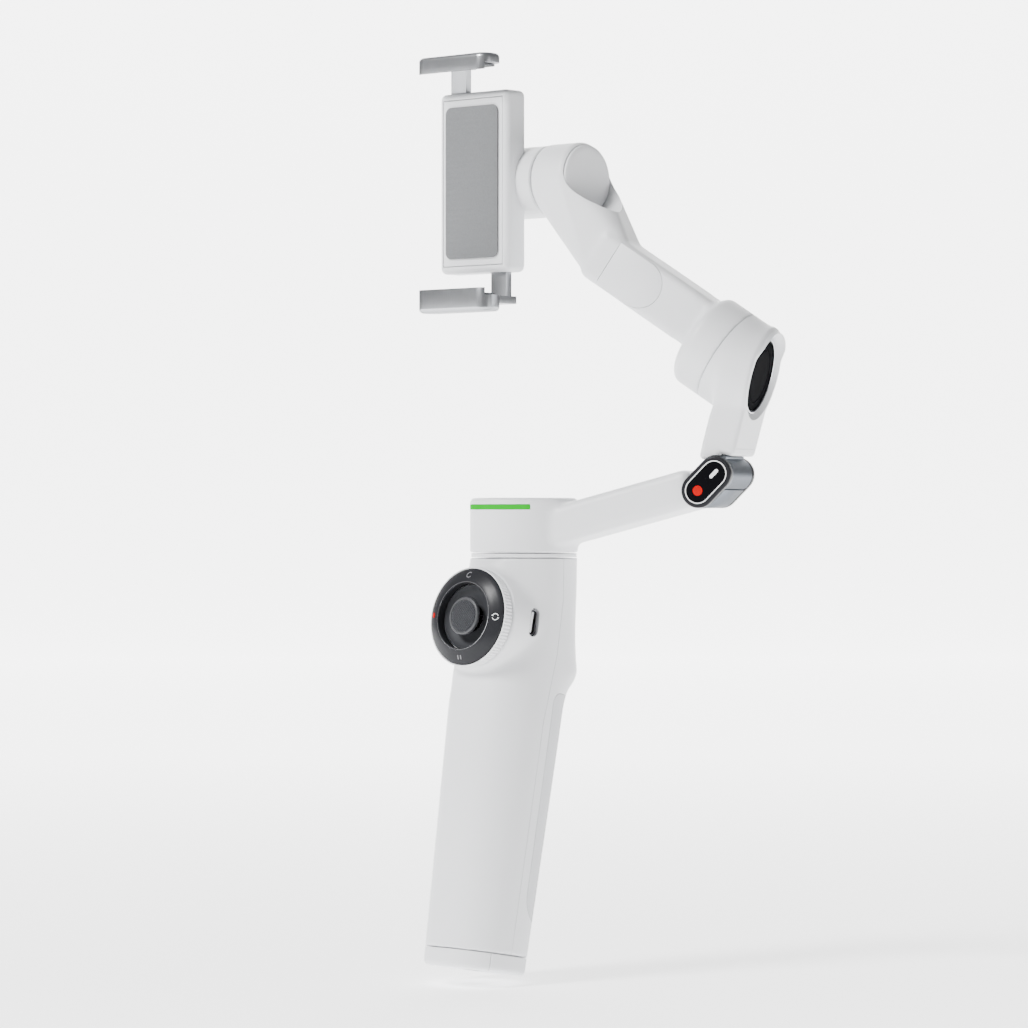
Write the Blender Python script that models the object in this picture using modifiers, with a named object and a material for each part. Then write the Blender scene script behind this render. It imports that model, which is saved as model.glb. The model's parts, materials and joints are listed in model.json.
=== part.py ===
"""A handheld three-axis gimbal stabilizer for a phone, as separate pieces in their closed rest position.

The frame has its origin at the centre of the grip's bottom face, +Z up and the controls facing -Y.
Sizes below are in millimetres; the mesh helpers turn them into metres.
"""
import math

import bpy
import bmesh
from mathutils import Matrix, Vector

MM = 0.001

# Handle
GRIP_TILT = math.radians(10.3)
GRIP_LENGTH = 140.6
HALF_WIDTH = 17.8
HALF_DEPTH = 19.0
WALL = 2.2
PAD_DEPTH = 0.9
FOOT_HEIGHT = 6.0
TAPER_START = 55.0
TAPER_END = 0.885
SECTION_POINTS = 32
GAP = 0.3

# Telescopic rod, four tubes that each slide by the same stroke
ROD_LOW = 76.2
ROD_HIGH = 137.8
ROD_RADII = [(8.5, 7.75), (7.5, 6.75), (6.5, 5.75), (5.5, 4.75)]

# Tripod folded into the grip
HUB_LOW = 53.5
HUB_HIGH = 60.5
HUB_RADIUS = 12.0
STEM_RADIUS = 3.2
LEG_RADIUS = 12.6

# Control panel
DIAL_DROP = 24.8
DIAL_RADIUS = 16.9
BOSS_RADIUS = 17.4
BOSS_TOP = 20.3
PIVOT_HEIGHT = 14.6
CAP_RADIUS = 6.4

# Pan head and pan arm
HEAD_RADIUS = 18.3
HEAD_LOW = 1.2
HEAD_TOP = 19.7
ARM_TURN = math.radians(22.0)
ARM_SLOPE = math.radians(14.9)
ARM_END = 63.3
ARM_THICKNESS = 12.8
ARM_WIDTH = 25.0
LIGHT_LOW = 15.8
LIGHT_HIGH = 17.4
LIGHT_SPAN = math.radians(48.0)

# Fold hinge, in the arm plane as (outward, up)
HINGE_FIXED = (66.2, 21.9)
HINGE_PIVOT = (71.8, 27.5)
HINGE_RADIUS = 5.75
HINGE_FRONT = 11.7
HINGE_REAR = 10.3
HINGE_CAP = 3.0

# Roll arm and roll motor
ROLL_ARM_LEAN = math.radians(15.0)
RING_HEIGHT = 34.3
RING_RADIUS = 17.0
STEM_HALF = 12.7
ROLL_CENTRE = (72.1, 66.7)
ROLL_RISE = math.radians(34.1)
MOTOR_RADIUS = 16.3
MOTOR_BORE = 14.3
BAR_X = (-4.8, 13.1)
BAR_Y = (-8.4, 10.0)
BAR_END = 58.0

# Tilt motor and phone clamp, from the top centre of the handle
TILT_Y = 12.0
TILT_HEIGHT = 127.5
TILT_RADIUS = 12.5
CLAMP_X = -19.8
PHONE_HALF = 38.35
JAW_HALF = 16.5
JAW_FRONT = -16.0
JAW_BACK = -6.0
JAW_RISE = {1: 4.2, -1: 6.4}
TONGUE_IN = 5.8
TONGUE_OUT = 12.8


def clear_scene():
    for old in list(bpy.data.objects):
        bpy.data.objects.remove(old)


def add_collection(name):
    collection = bpy.data.collections.new(name)
    bpy.context.scene.collection.children.link(collection)
    return collection


def plain_material(name, colour, roughness, metallic=0.0):
    material = bpy.data.materials.new(name)
    material.use_nodes = True
    shader = material.node_tree.nodes["Principled BSDF"]
    shader.inputs["Base Color"].default_value = (*colour, 1.0)
    shader.inputs["Roughness"].default_value = roughness
    shader.inputs["Metallic"].default_value = metallic
    return material


def make_frame(origin, x_axis, z_axis):
    """A placing matrix from an origin in millimetres and two axes; y is z cross x."""
    x = Vector(x_axis).normalized()
    z = Vector(z_axis).normalized()
    y = z.cross(x)
    turn = Matrix((x, y, z)).transposed().to_4x4()
    return Matrix.Translation(Vector(origin) * MM) @ turn


clear_scene()
parts = add_collection("gimbal_stabilizer")
cutters = add_collection("cutters")

WHITE = plain_material("white_plastic", (0.86, 0.87, 0.88), 0.42)
BLACK = plain_material("black_plastic", (0.03, 0.03, 0.035), 0.35)
SILVER = plain_material("silver_aluminium", (0.62, 0.64, 0.68), 0.3, 1.0)
STEEL = plain_material("steel", (0.55, 0.55, 0.57), 0.25, 1.0)
COPPER = plain_material("copper_winding", (0.72, 0.38, 0.2), 0.4, 1.0)
GREEN = plain_material("green_light", (0.1, 0.85, 0.2), 0.3)
RUBBER = plain_material("grey_rubber", (0.2, 0.2, 0.21), 0.8)
BOARD = plain_material("circuit_board", (0.02, 0.16, 0.08), 0.5)

# Frames of the mechanism
UP = Vector((0.0, math.sin(GRIP_TILT), math.cos(GRIP_TILT)))
HEAD_ORIGIN = UP * GRIP_LENGTH
OUT = Vector((math.cos(ARM_TURN), math.sin(ARM_TURN), 0.0))
FRONT = Vector((math.sin(ARM_TURN), -math.cos(ARM_TURN), 0.0))
UPRIGHT = Vector((0.0, 0.0, 1.0))
RIGHT = Vector((1.0, 0.0, 0.0))


def in_arm_plane(outward, height):
    return HEAD_ORIGIN + OUT * outward + UPRIGHT * height


ROLL_AXIS = OUT * -math.cos(ROLL_RISE) + UPRIGHT * math.sin(ROLL_RISE)
ROLL_SIDE = OUT * math.sin(ROLL_RISE) + UPRIGHT * math.cos(ROLL_RISE)
KEY_NORMAL = OUT * math.cos(ROLL_ARM_LEAN) - UPRIGHT * math.sin(ROLL_ARM_LEAN)
DIAL_AXIS = Vector((0.0, -math.cos(GRIP_TILT), math.sin(GRIP_TILT)))

GRIP = make_frame((0, 0, 0), RIGHT, UP)
GRIP_SIDE = make_frame((0, 0, 0), (0, math.cos(GRIP_TILT), -math.sin(GRIP_TILT)), RIGHT)
HEAD = make_frame(HEAD_ORIGIN, RIGHT, UPRIGHT)
PROFILE = make_frame(HEAD_ORIGIN, (0, 1, 0), RIGHT)
DIAL = make_frame(UP * (GRIP_LENGTH - DIAL_DROP), RIGHT, DIAL_AXIS)
SIDE = make_frame(HEAD_ORIGIN, OUT, FRONT)
FIXED = make_frame(in_arm_plane(*HINGE_FIXED), OUT, FRONT)
PIVOT = make_frame(in_arm_plane(*HINGE_PIVOT), OUT, FRONT)
KEY = make_frame(in_arm_plane(*HINGE_PIVOT), -FRONT, KEY_NORMAL)
MOTOR = make_frame(in_arm_plane(*ROLL_CENTRE), ROLL_SIDE, ROLL_AXIS)
COVER = make_frame(in_arm_plane(*ROLL_CENTRE), ROLL_SIDE, FRONT)
TILT = make_frame(HEAD_ORIGIN + Vector((0, TILT_Y, TILT_HEIGHT)), (0, 1, 0), RIGHT)
CLAMP = make_frame(HEAD_ORIGIN + Vector((CLAMP_X, 0, TILT_HEIGHT)), RIGHT, UPRIGHT)
PINION = make_frame(HEAD_ORIGIN + Vector((CLAMP_X, 0, TILT_HEIGHT)), RIGHT, (0, -1, 0))


def place(bm, name, frame, material):
    """Make a placed object from a bmesh in millimetres; without a material it is a cutter."""
    bmesh.ops.scale(bm, vec=(MM, MM, MM), verts=bm.verts)
    mesh = bpy.data.meshes.new(name)
    bm.to_mesh(mesh)
    bm.free()
    piece = bpy.data.objects.new(name, mesh)
    piece.matrix_world = frame
    if material is None:
        cutters.objects.link(piece)
        piece.hide_render = True
        piece.display_type = "WIRE"
    else:
        parts.objects.link(piece)
        mesh.materials.append(material)
        mesh.shade_smooth()
        mesh.set_sharp_from_angle(angle=math.radians(32))
    return piece


def box(name, frame, low, high, material=None, bevel=0.0, along=None, segments=2):
    """A block between two corners; along picks the axis whose edges are rounded, or all."""
    bm = bmesh.new()
    bmesh.ops.create_cube(bm, size=1.0)
    low = Vector(low)
    size = Vector(high) - low
    for vert in bm.verts:
        unit = vert.co + Vector((0.5, 0.5, 0.5))
        vert.co = low + unit * size
    if bevel:
        edges = bm.edges[:]
        if along is not None:
            edges = [e for e in edges if abs((e.verts[0].co - e.verts[1].co)[along]) > 1e-3]
        bmesh.ops.bevel(bm, geom=edges, offset=bevel, segments=segments, profile=0.5, affect="EDGES")
    return place(bm, name, frame, material)


def cylinder(name, frame, radius, low, high, material=None, steps=32, bevel=0.0):
    """A round bar along the frame's z axis, with its rims rounded by bevel."""
    bm = bmesh.new()
    middle = Matrix.Translation((0, 0, (low + high) / 2))
    bmesh.ops.create_cone(bm, cap_ends=True, segments=steps, radius1=radius, radius2=radius,
                          depth=high - low, matrix=middle)
    if bevel:
        rims = [e for e in bm.edges if abs(e.verts[0].co.z - e.verts[1].co.z) < 1e-4]
        bmesh.ops.bevel(bm, geom=rims, offset=bevel, segments=2, profile=0.5, affect="EDGES")
    return place(bm, name, frame, material)


def turned(name, frame, profile, material=None, steps=36, ring=False):
    """A turned piece from (radius, height) points that run down the outer side."""
    bm = bmesh.new()
    verts = [bm.verts.new((radius, 0, height)) for radius, height in profile]
    for start, end in zip(verts, verts[1:]):
        bm.edges.new((start, end))
    if ring:
        bm.edges.new((verts[-1], verts[0]))
    piece = place(bm, name, frame, material)
    screw = piece.modifiers.new("Turn", "SCREW")
    screw.angle = math.tau
    screw.steps = steps
    screw.render_steps = steps
    screw.use_merge_vertices = True
    screw.merge_threshold = 0.00001
    return piece


def tube(name, frame, outer, inner, low, high, material=None, steps=28):
    profile = [(outer, high), (outer, low), (inner, low), (inner, high)]
    return turned(name, frame, profile, material, steps, ring=True)


def plate(name, frame, outline, low, high, material=None, bevel=0.0):
    """A flat outline with a thickness along the frame's z axis."""
    curve = bpy.data.curves.new(name, "CURVE")
    curve.dimensions = "2D"
    curve.fill_mode = "BOTH"
    curve.extrude = (high - low) / 2
    spline = curve.splines.new("POLY")
    spline.points.add(len(outline) - 1)
    spline.use_cyclic_u = True
    for point, (x, y) in zip(spline.points, outline):
        point.co = (x, y, 0, 1)
    guide = bpy.data.objects.new(name, curve)
    cutters.objects.link(guide)
    depsgraph = bpy.context.evaluated_depsgraph_get()
    mesh = bpy.data.meshes.new_from_object(guide.evaluated_get(depsgraph))
    bpy.data.objects.remove(guide)
    bm = bmesh.new()
    bm.from_mesh(mesh)
    bmesh.ops.remove_doubles(bm, verts=bm.verts, dist=0.001)
    bmesh.ops.dissolve_limit(bm, angle_limit=0.01, verts=bm.verts, edges=bm.edges)
    bmesh.ops.translate(bm, vec=(0, 0, (high + low) / 2), verts=bm.verts)
    bmesh.ops.recalc_face_normals(bm, faces=bm.faces)
    if bevel:
        rims = [e for e in bm.edges if abs(e.verts[0].co.z - e.verts[1].co.z) < 1e-3]
        bmesh.ops.bevel(bm, geom=rims, offset=bevel, segments=2, profile=0.5, affect="EDGES")
    return place(bm, name, frame, material)


def loft(name, frame, rings, material=None):
    """A closed body through rings of equal point counts, first ring at the top."""
    bm = bmesh.new()
    rows = [[bm.verts.new(point) for point in ring] for ring in rings]
    count = len(rows[0])
    for upper, lower in zip(rows, rows[1:]):
        for i in range(count):
            j = (i + 1) % count
            bm.faces.new((upper[i], lower[i], lower[j], upper[j]))
    bm.faces.new(rows[0])
    bm.faces.new(list(reversed(rows[-1])))
    bmesh.ops.recalc_face_normals(bm, faces=bm.faces)
    return place(bm, name, frame, material)


def boolean(piece, operation, others):
    for other in others:
        modifier = piece.modifiers.new(operation.title(), "BOOLEAN")
        modifier.operation = operation
        modifier.object = other


def cut(piece, *others):
    boolean(piece, "DIFFERENCE", others)


def join(piece, *others):
    boolean(piece, "UNION", others)


def keep(piece, *others):
    boolean(piece, "INTERSECT", others)


def arc(centre, radius, start, end, steps):
    """Points on an arc between two angles in degrees, both ends included."""
    angles = [math.radians(start + (end - start) * i / steps) for i in range(steps + 1)]
    return [(centre[0] + radius * math.cos(a), centre[1] + radius * math.sin(a)) for a in angles]


def stadium(length, radius, steps=8):
    """A long round-ended outline along x about its centre."""
    half = length / 2 - radius
    return arc((half, 0), radius, -90, 90, steps) + arc((-half, 0), radius, 90, 270, steps)


def section(power, half_width, front, rear):
    """Points (x, depth) of the rounded handle section, with unlike front and rear halves."""
    points = []
    for i in range(SECTION_POINTS):
        angle = math.tau * i / SECTION_POINTS
        c = math.cos(angle)
        s = math.sin(angle)
        x = math.copysign(abs(c) ** (2 / power), c) * half_width
        depth = rear if s > 0 else front
        points.append((x, math.copysign(abs(s) ** (2 / power), s) * depth))
    return points


def level_ring(height, front, rear_wall, power, inset):
    """A horizontal ring below the head seam; rear_wall is the rear face's distance from the pan axis."""
    centre = height * math.tan(GRIP_TILT)
    width = HALF_WIDTH + 0.2 * (power < 2.1) - inset
    points = section(power, width, front - inset, rear_wall - centre - inset)
    return [(x, centre + depth, height) for x, depth in points]


def grip_ring(drop, inset):
    """A ring square to the grip axis, drop millimetres below the head seam."""
    taper = 1 - (1 - TAPER_END) * (drop - TAPER_START) / (GRIP_LENGTH - TAPER_START)
    depth = HALF_DEPTH * taper - inset
    points = section(2.3, HALF_WIDTH * taper - inset, depth, depth)
    centre = UP * -drop
    across = Vector((0, math.cos(GRIP_TILT), -math.sin(GRIP_TILT)))
    return [centre + RIGHT * x + across * depth for x, depth in points]


# Height, front depth, rear wall and section power of the upper handle, top to bottom
UPPER_STATIONS = [
    (-0.7, 18.2, 18.2, 2.0), (-8, 18.5, 18.3, 2.05), (-16, 18.8, 18.2, 2.1), (-23, 19.0, 17.8, 2.15),
    (-29, 19.2, 17.8, 2.2), (-35, 19.3, 18.5, 2.2), (-39.5, 19.3, 18.9, 2.25), (-42.5, 19.3, 17.2, 2.25),
    (-45, 19.3, 13.9, 2.25), (-47.5, 19.3, 11.7, 2.3), (-52, 19.3, 10.0, 2.3),
]


def handle_loft(name, inset, over, material=None):
    """The handle's outer form, inset by a wall; over lengthens both ends for cutting."""
    rings = [level_ring(h, f, r, p, inset) for h, f, r, p in UPPER_STATIONS]
    if over:
        height, front, rear, power = UPPER_STATIONS[0]
        rings.insert(0, level_ring(height + over, front, rear, power, inset))
    bottom = GRIP_LENGTH - FOOT_HEIGHT - GAP
    for drop in (62.0, 85.0, 108.0, bottom + over):
        rings.append(grip_ring(drop, inset))
    return loft(name, HEAD, rings, material)


def seam_line(shift):
    """The parting line of the two shells, seen from the side."""
    slope = math.tan(GRIP_TILT)
    return [(shift, 5), (shift, -15), (shift - 3.1, -33), (shift - 10, -55), (shift - 160 * slope, -160)]


def pad_outline(grow):
    """The rear pad's edge in the grip's side view, with a rounded lower end."""
    lower = arc((13.0, 27.0), 9.0 + grow, 180, 262, 6)
    return [(30, 95 + grow), (4 - grow, 95 + grow)] + lower + [(30, 17.5 - grow)]


def build_handle():
    front = handle_loft("handle_front_shell", 0, 0, WHITE)
    rear = handle_loft("handle_rear_shell", 0, 0, WHITE)
    hollow = handle_loft("handle_hollow", WALL, 4)
    behind = plate("behind_seam", PROFILE, seam_line(-GAP / 2) + [(60, -160), (60, 5)], -30, 30)
    before = plate("before_seam", PROFILE, seam_line(GAP / 2) + [(-60, -160), (-60, 5)], -30, 30)
    join(front, cylinder("dial_boss", DIAL, BOSS_RADIUS, 2, BOSS_TOP, steps=40, bevel=0.5))
    port = make_port_frame()
    port_hole = plate("port_hole", port, stadium(9.6, 1.9), 14, 24)
    boss_hollow = cylinder("boss_hollow", DIAL, 15.6, 8, 18.9, steps=40)
    dial_hole = cylinder("dial_hole", DIAL, 12.6, 8, 24)
    cut(front, hollow, boss_hollow, dial_hole, port_hole, behind)

    pocket = handle_loft("pad_pocket", -0.5, 0)
    keep(pocket, plate("pad_area", GRIP_SIDE, pad_outline(GAP), -30, 30))
    cut(pocket, handle_loft("pocket_floor", PAD_DEPTH + GAP, 4))
    trigger_hole = box("trigger_hole", HEAD, (-4.7, 12, -33.6), (4.7, 24, -19.4), bevel=1.5, along=1)
    cut(rear, hollow, pocket, trigger_hole, before)

    pad = handle_loft("rear_grip_pad", 0, 0, RUBBER)
    keep(pad, plate("pad_shape", GRIP_SIDE, pad_outline(0), -30, 30))
    cut(pad, handle_loft("pad_floor", PAD_DEPTH, 4))

    cap = box("trigger_button", HEAD, (-4.3, 13.2, -33.1), (4.3, 18.9, -19.9), WHITE, 1.2, 1)
    join(cap, box("trigger_flange", HEAD, (-5.6, 12.0, -34.8), (5.6, 13.8, -18.2)))
    tube("handle_top_bush", HEAD, 15.4, 10.8, -5.0, -1.0, WHITE)


def make_port_frame():
    """The USB-C port looks out of the handle's front right side, long axis up the grip."""
    outward = Vector((math.cos(math.radians(30)), -math.sin(math.radians(30)), 0))
    upward = UP - outward * UP.dot(outward)
    return make_frame(HEAD_ORIGIN + Vector((0, -4, -22)), upward, outward)


def build_electronics():
    socket = plate("usb_c_socket", make_port_frame(), stadium(8.9, 1.55, 6), 9.9, 17.0, STEEL)
    cut(socket, plate("socket_mouth", make_port_frame(), stadium(8.3, 1.25, 6), 12, 20))
    box("main_circuit_board", GRIP, (11.0, -2, 82), (12.2, 10, 130), BOARD)
    box("battery_pack", GRIP, (-10.8, -11.8, 62.5), (10.8, 11.8, 75.0), BLACK, 3.0, 2, 3)
    cylinder("control_board", DIAL, 12.0, 9.9, 11.0, BOARD, steps=28)


def build_rod():
    tube("rod_sleeve", GRIP, 9.3, 8.75, ROD_LOW - 0.6, ROD_HIGH, STEEL, 28)
    for number, (outer, inner) in enumerate(ROD_RADII, 1):
        tube(f"rod_stage_{number}", GRIP, outer, inner, ROD_LOW, ROD_HIGH, STEEL, 28)
    collar = cylinder("pan_collar", HEAD, 17.9, -0.4, 0.9, WHITE, 48)
    join(collar, cylinder("rod_plug", GRIP, 4.4, 128, GRIP_LENGTH, steps=20))


def build_tripod():
    profile = [(0, HUB_HIGH), (HUB_RADIUS, HUB_HIGH), (HUB_RADIUS, HUB_LOW), (STEM_RADIUS, HUB_LOW),
               (STEM_RADIUS, 0), (0, 0)]
    turned("tripod_hub", GRIP, profile, BLACK, 24)
    stem_hole = cylinder("stem_hole", GRIP, STEM_RADIUS + GAP, -5, 60, steps=24)
    rings = [(FOOT_HEIGHT, 0), (2.0, 0), (0.6, 0.5), (0, 1.6)]
    for number in range(3):
        foot_rings = [[point + UP * GRIP_LENGTH for point in grip_ring(GRIP_LENGTH - t, inset)]
                      for t, inset in rings]
        origin = make_frame((0, 0, 0), RIGHT, UPRIGHT)
        leg = loft(f"tripod_leg_{number + 1}", origin, foot_rings, WHITE)
        join(leg, cylinder(f"leg_bar_{number + 1}", GRIP, LEG_RADIUS, 3, HUB_LOW - GAP, steps=24))
        facing = -90 + 120 * number
        apex = (0.17 * math.cos(math.radians(facing)), 0.17 * math.sin(math.radians(facing)))
        wedge = [apex] + arc(apex, 45, facing - 60, facing + 60, 4)
        keep(leg, plate(f"leg_wedge_{number + 1}", GRIP, wedge, -5, 60))
        cut(leg, stem_hole)


def build_controls():
    rim = [(DIAL_RADIUS, 24.2), (DIAL_RADIUS, 20.6), (12.2, 20.6), (12.2, 17.9), (13.4, 17.9), (13.4, 16.9),
           (11.3, 16.9), (11.3, 21.3), (14.7, 21.3), (14.7, 22.2), (16.45, 22.2), (16.45, 24.2)]
    turned("control_dial", DIAL, rim, WHITE, 30, ring=True)
    tube("ring_carrier", DIAL, 14.2, 12.7, 21.9, 22.4, BLACK, 24)
    ring = [(11.7, 26.7), (16.1, 24.7), (16.1, 23.2), (11.3, 23.2), (11.3, 26.5)]
    turned("button_ring", DIAL, ring, BLACK, 30, ring=True)
    dish = [(10.9, 23.3), (10.9, 11.3), (10.2, 11.3), (10.2, 22.2), (4.6, 20.9), (4.6, 21.8)]
    turned("joystick_dish", DIAL, dish, BLACK, 24, ring=True)
    base = box("joystick_base", DIAL, (-6.5, -6.5, 11.3), (6.5, 6.5, 15.6), BLACK, 0.8, 2)
    cut(base, cylinder("yoke_well", DIAL, 3.9, 13.0, 20, steps=20))
    tube("joystick_yoke", DIAL, 3.3, 2.1, 14.0, 15.2, STEEL, 20)
    cylinder("joystick_stem", DIAL, 1.6, 14.0, 24.3, STEEL, 16)
    cap = [(0, 26.5), (5.8, 26.5), (CAP_RADIUS, 26.0), (CAP_RADIUS, 25.2), (5.2, 24.6), (0, 24.6)]
    turned("joystick_cap", DIAL, cap, BLACK, 20)


def light_sector(inner, outer, span, name, low, high, material=None):
    facing = math.degrees(span)
    outline = arc((0, 0), outer, -90 - facing, -90 + facing, 24)
    outline += arc((0, 0), inner, -90 + facing, -90 - facing, 24)
    return plate(name, HEAD, outline, low, high, material)


def build_head():
    profile = [(16.9, HEAD_TOP), (17.9, 19.2), (HEAD_RADIUS, 18.2), (HEAD_RADIUS, HEAD_LOW), (16.4, HEAD_LOW),
               (16.4, 17.2), (14.8, 17.2), (14.8, 18.4), (16.2, 18.4), (16.2, HEAD_TOP)]
    head = turned("head_housing", HEAD, profile, WHITE, 48, ring=True)
    slope = math.tan(ARM_SLOPE)
    half = ARM_THICKNESS / 2 / math.cos(ARM_SLOPE)
    end = 9.0 + (ARM_END - 10) * slope
    beam = [(10.0, 9.0 - half), (ARM_END, end - half), (ARM_END, end + half), (10.0, 9.0 + half)]
    arm = plate("pan_beam", SIDE, beam, -ARM_WIDTH / 2, ARM_WIDTH / 2, bevel=2.6)
    hinge_room = plate("hinge_room", SIDE, hinge_outline(HINGE_RADIUS + GAP), -20, 20)
    sweep_room = cylinder("knuckle_room", PIVOT, HINGE_RADIUS + 0.9, -20, 20, steps=40)
    cut(arm, hinge_room, sweep_room, cylinder("head_hollow", HEAD, 17.2, -5, 30, steps=40))
    join(head, arm)
    cut(head, light_sector(17.3, 20, LIGHT_SPAN + 0.02, "light_groove", LIGHT_LOW - 0.3, LIGHT_HIGH + 0.3))
    light_sector(17.6, 18.35, LIGHT_SPAN, "light_strip", LIGHT_LOW, LIGHT_HIGH, GREEN)
    cylinder("head_cap", HEAD, 15.9, 18.7, HEAD_TOP, WHITE, 40)
    tube("pan_stator", HEAD, 13.2, 6.6, 2.4, 11.5, COPPER, 28)
    tube("pan_bearing", HEAD, 6.2, 3.4, 2.4, 8.0, STEEL, 24)
    cylinder("pan_shaft", HEAD, 3.0, 1.4, 16.6, STEEL, 20)
    tube("pan_rotor", HEAD, 15.9, 13.7, 2.4, 12.5, STEEL, 32)


def hinge_outline(radius):
    """The long round-ended block around both hinge centres."""
    start = arc(HINGE_FIXED, radius, 135, 315, 12)
    return start + arc(HINGE_PIVOT, radius, -45, 135, 12)


def build_hinge():
    block = plate("hinge_block", SIDE, hinge_outline(HINGE_RADIUS), -HINGE_REAR, HINGE_FRONT, SILVER)
    cut(block, cylinder("knuckle_clearance", PIVOT, HINGE_RADIUS + GAP, -13, 13, steps=40))
    caps = {"hinge_front_cap": (HINGE_FRONT + GAP, HINGE_FRONT + GAP + HINGE_CAP),
            "hinge_rear_cap": (-HINGE_REAR - GAP - HINGE_CAP, -HINGE_REAR - GAP)}
    for name, (low, high) in caps.items():
        plate(name, SIDE, hinge_outline(HINGE_RADIUS), low, high, BLACK, 0.5)
    cylinder("hinge_pin", PIVOT, 1.6, -HINGE_REAR, HINGE_FRONT, STEEL, 16)
    knuckle = cylinder("hinge_knuckle", PIVOT, HINGE_RADIUS, -HINGE_REAR, HINGE_FRONT, SILVER, 36)
    join(knuckle, box("hinge_neck", KEY, (-11.0, 2.5, -3.5), (9.6, 6.4, 1.6)))
    cut(knuckle, cylinder("pin_hole", PIVOT, 1.9, -15, 15, steps=16))


def build_roll_arm():
    flare = math.degrees(math.asin(STEM_HALF / RING_RADIUS))
    outline = [(STEM_HALF - 2, 6.8), (STEM_HALF, 8.8)]
    outline += arc((0, RING_HEIGHT), RING_RADIUS, flare - 90, 270 - flare, 32)
    outline += [(-STEM_HALF, 8.8), (-STEM_HALF + 2, 6.8)]
    arm = plate("roll_arm", KEY, outline, -7.4, 4.2, WHITE, 1.6)
    heel = box("stem_heel", KEY, (-STEM_HALF, 3.2, -7.4), (STEM_HALF, 12.0, -0.5), None, 1.5, 1)
    cut(heel, cylinder("knuckle_sweep", PIVOT, HINGE_RADIUS + 0.5, -20, 20, steps=40))
    cut(heel, box("neck_room", KEY, (-11.4, 0, -3.9), (10.0, 6.75, 3)))
    join(arm, heel)
    join(arm, cylinder("stator_housing", MOTOR, MOTOR_RADIUS, -13, 2, steps=44))
    rotor_side = cylinder("rotor_side", MOTOR, 45, -0.15, 40, steps=16)
    stator_bore = cylinder("stator_bore", MOTOR, MOTOR_BORE, -6.2, 5, steps=36)
    rear_room = turned("rear_room", KEY_RING, [(0, 14), (19.2, 14), (13.2, 2.0), (13.2, 1.2), (0, 1.2)])
    cut(arm, rotor_side, stator_bore, rear_room)
    cylinder("roll_rear_disc", KEY_RING, 11.9, 1.5, 2.7, BLACK, 32)
    tube("roll_rear_ring", KEY_RING, 12.9, 12.2, 1.5, 3.1, SILVER, 32)
    tube("roll_stator", MOTOR, 13.8, 4.6, -5.8, -0.6, COPPER, 28)


KEY_RING = KEY @ Matrix.Translation((0, RING_HEIGHT * MM, 0))


def build_tilt_arm():
    housing = [(0, 12.3), (12.8, 12.3), (15.0, 11.5), (MOTOR_RADIUS, 9.5), (MOTOR_RADIUS, 0.15),
               (MOTOR_BORE, 0.15), (MOTOR_BORE, 8.5), (0, 8.5)]
    turned("roll_rotor_housing", MOTOR, housing, WHITE, 44)
    rotor = [(0, 8.1), (13.9, 8.1), (13.9, 0.8), (10.0, 0.8), (10.0, 5.6), (3.2, 5.6), (3.2, -5.6), (0, -5.6)]
    turned("roll_rotor", MOTOR, rotor, STEEL, 28)

    low = (BAR_X[0], BAR_Y[0], 12.6)
    arm = box("tilt_arm", MOTOR, low, (BAR_X[1], BAR_Y[1], BAR_END), WHITE, 3.0, None, 3)
    join(arm, build_elbow())
    cut(arm, cylinder("tilt_bore", TILT, 10.9, 1, 14, steps=32))
    cut(arm, cylinder("end_cap_seat", TILT, 11.8, 17.0, 45, steps=36))
    cover = tilt_cover_outline(8.0)
    cut(arm, plate("cover_pocket", COVER, tilt_cover_outline(8.3), 7.3, 12))
    plate("tilt_arm_cover", COVER, cover, 7.6, 8.4, WHITE)
    tube("tilt_stator", TILT, 8.6, 3.7, 4.8, 13.6, COPPER, 24)
    cylinder("tilt_end_cap", TILT, 11.5, 17.3, 18.4, WHITE, 32)


def tilt_cover_outline(radius):
    centre = (sum(BAR_X) / 2, 37.0)
    end = 50.0 + radius - 8.0
    return arc(centre, radius, 180, 360, 16) + [(centre[0] + radius, end), (centre[0] - radius, end)]


def build_elbow():
    """The bend from the bar's end up to the round tilt motor housing."""
    to_tilt = TILT.inverted() @ MOTOR
    bm = bmesh.new()
    margin = 0.9
    for x in (BAR_X[0] + margin, BAR_X[1] - margin):
        for y in (BAR_Y[0] + margin, BAR_Y[1] - margin):
            for z in (46.0, BAR_END - margin):
                bm.verts.new((to_tilt @ (Vector((x, y, z)) * MM)) / MM)
    for radius, height in ((TILT_RADIUS, 3.2), (TILT_RADIUS, 16.2), (TILT_RADIUS - 0.8, 17.0)):
        for x, y in arc((0, 0), radius, 0, 350, 35):
            bm.verts.new((x, y, height))
    hull = bmesh.ops.convex_hull(bm, input=bm.verts)
    bmesh.ops.delete(bm, geom=[g for g in hull["geom_interior"] if g.is_valid], context="VERTS")
    bmesh.ops.recalc_face_normals(bm, faces=bm.faces)
    return place(bm, "elbow", TILT, None)


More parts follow.
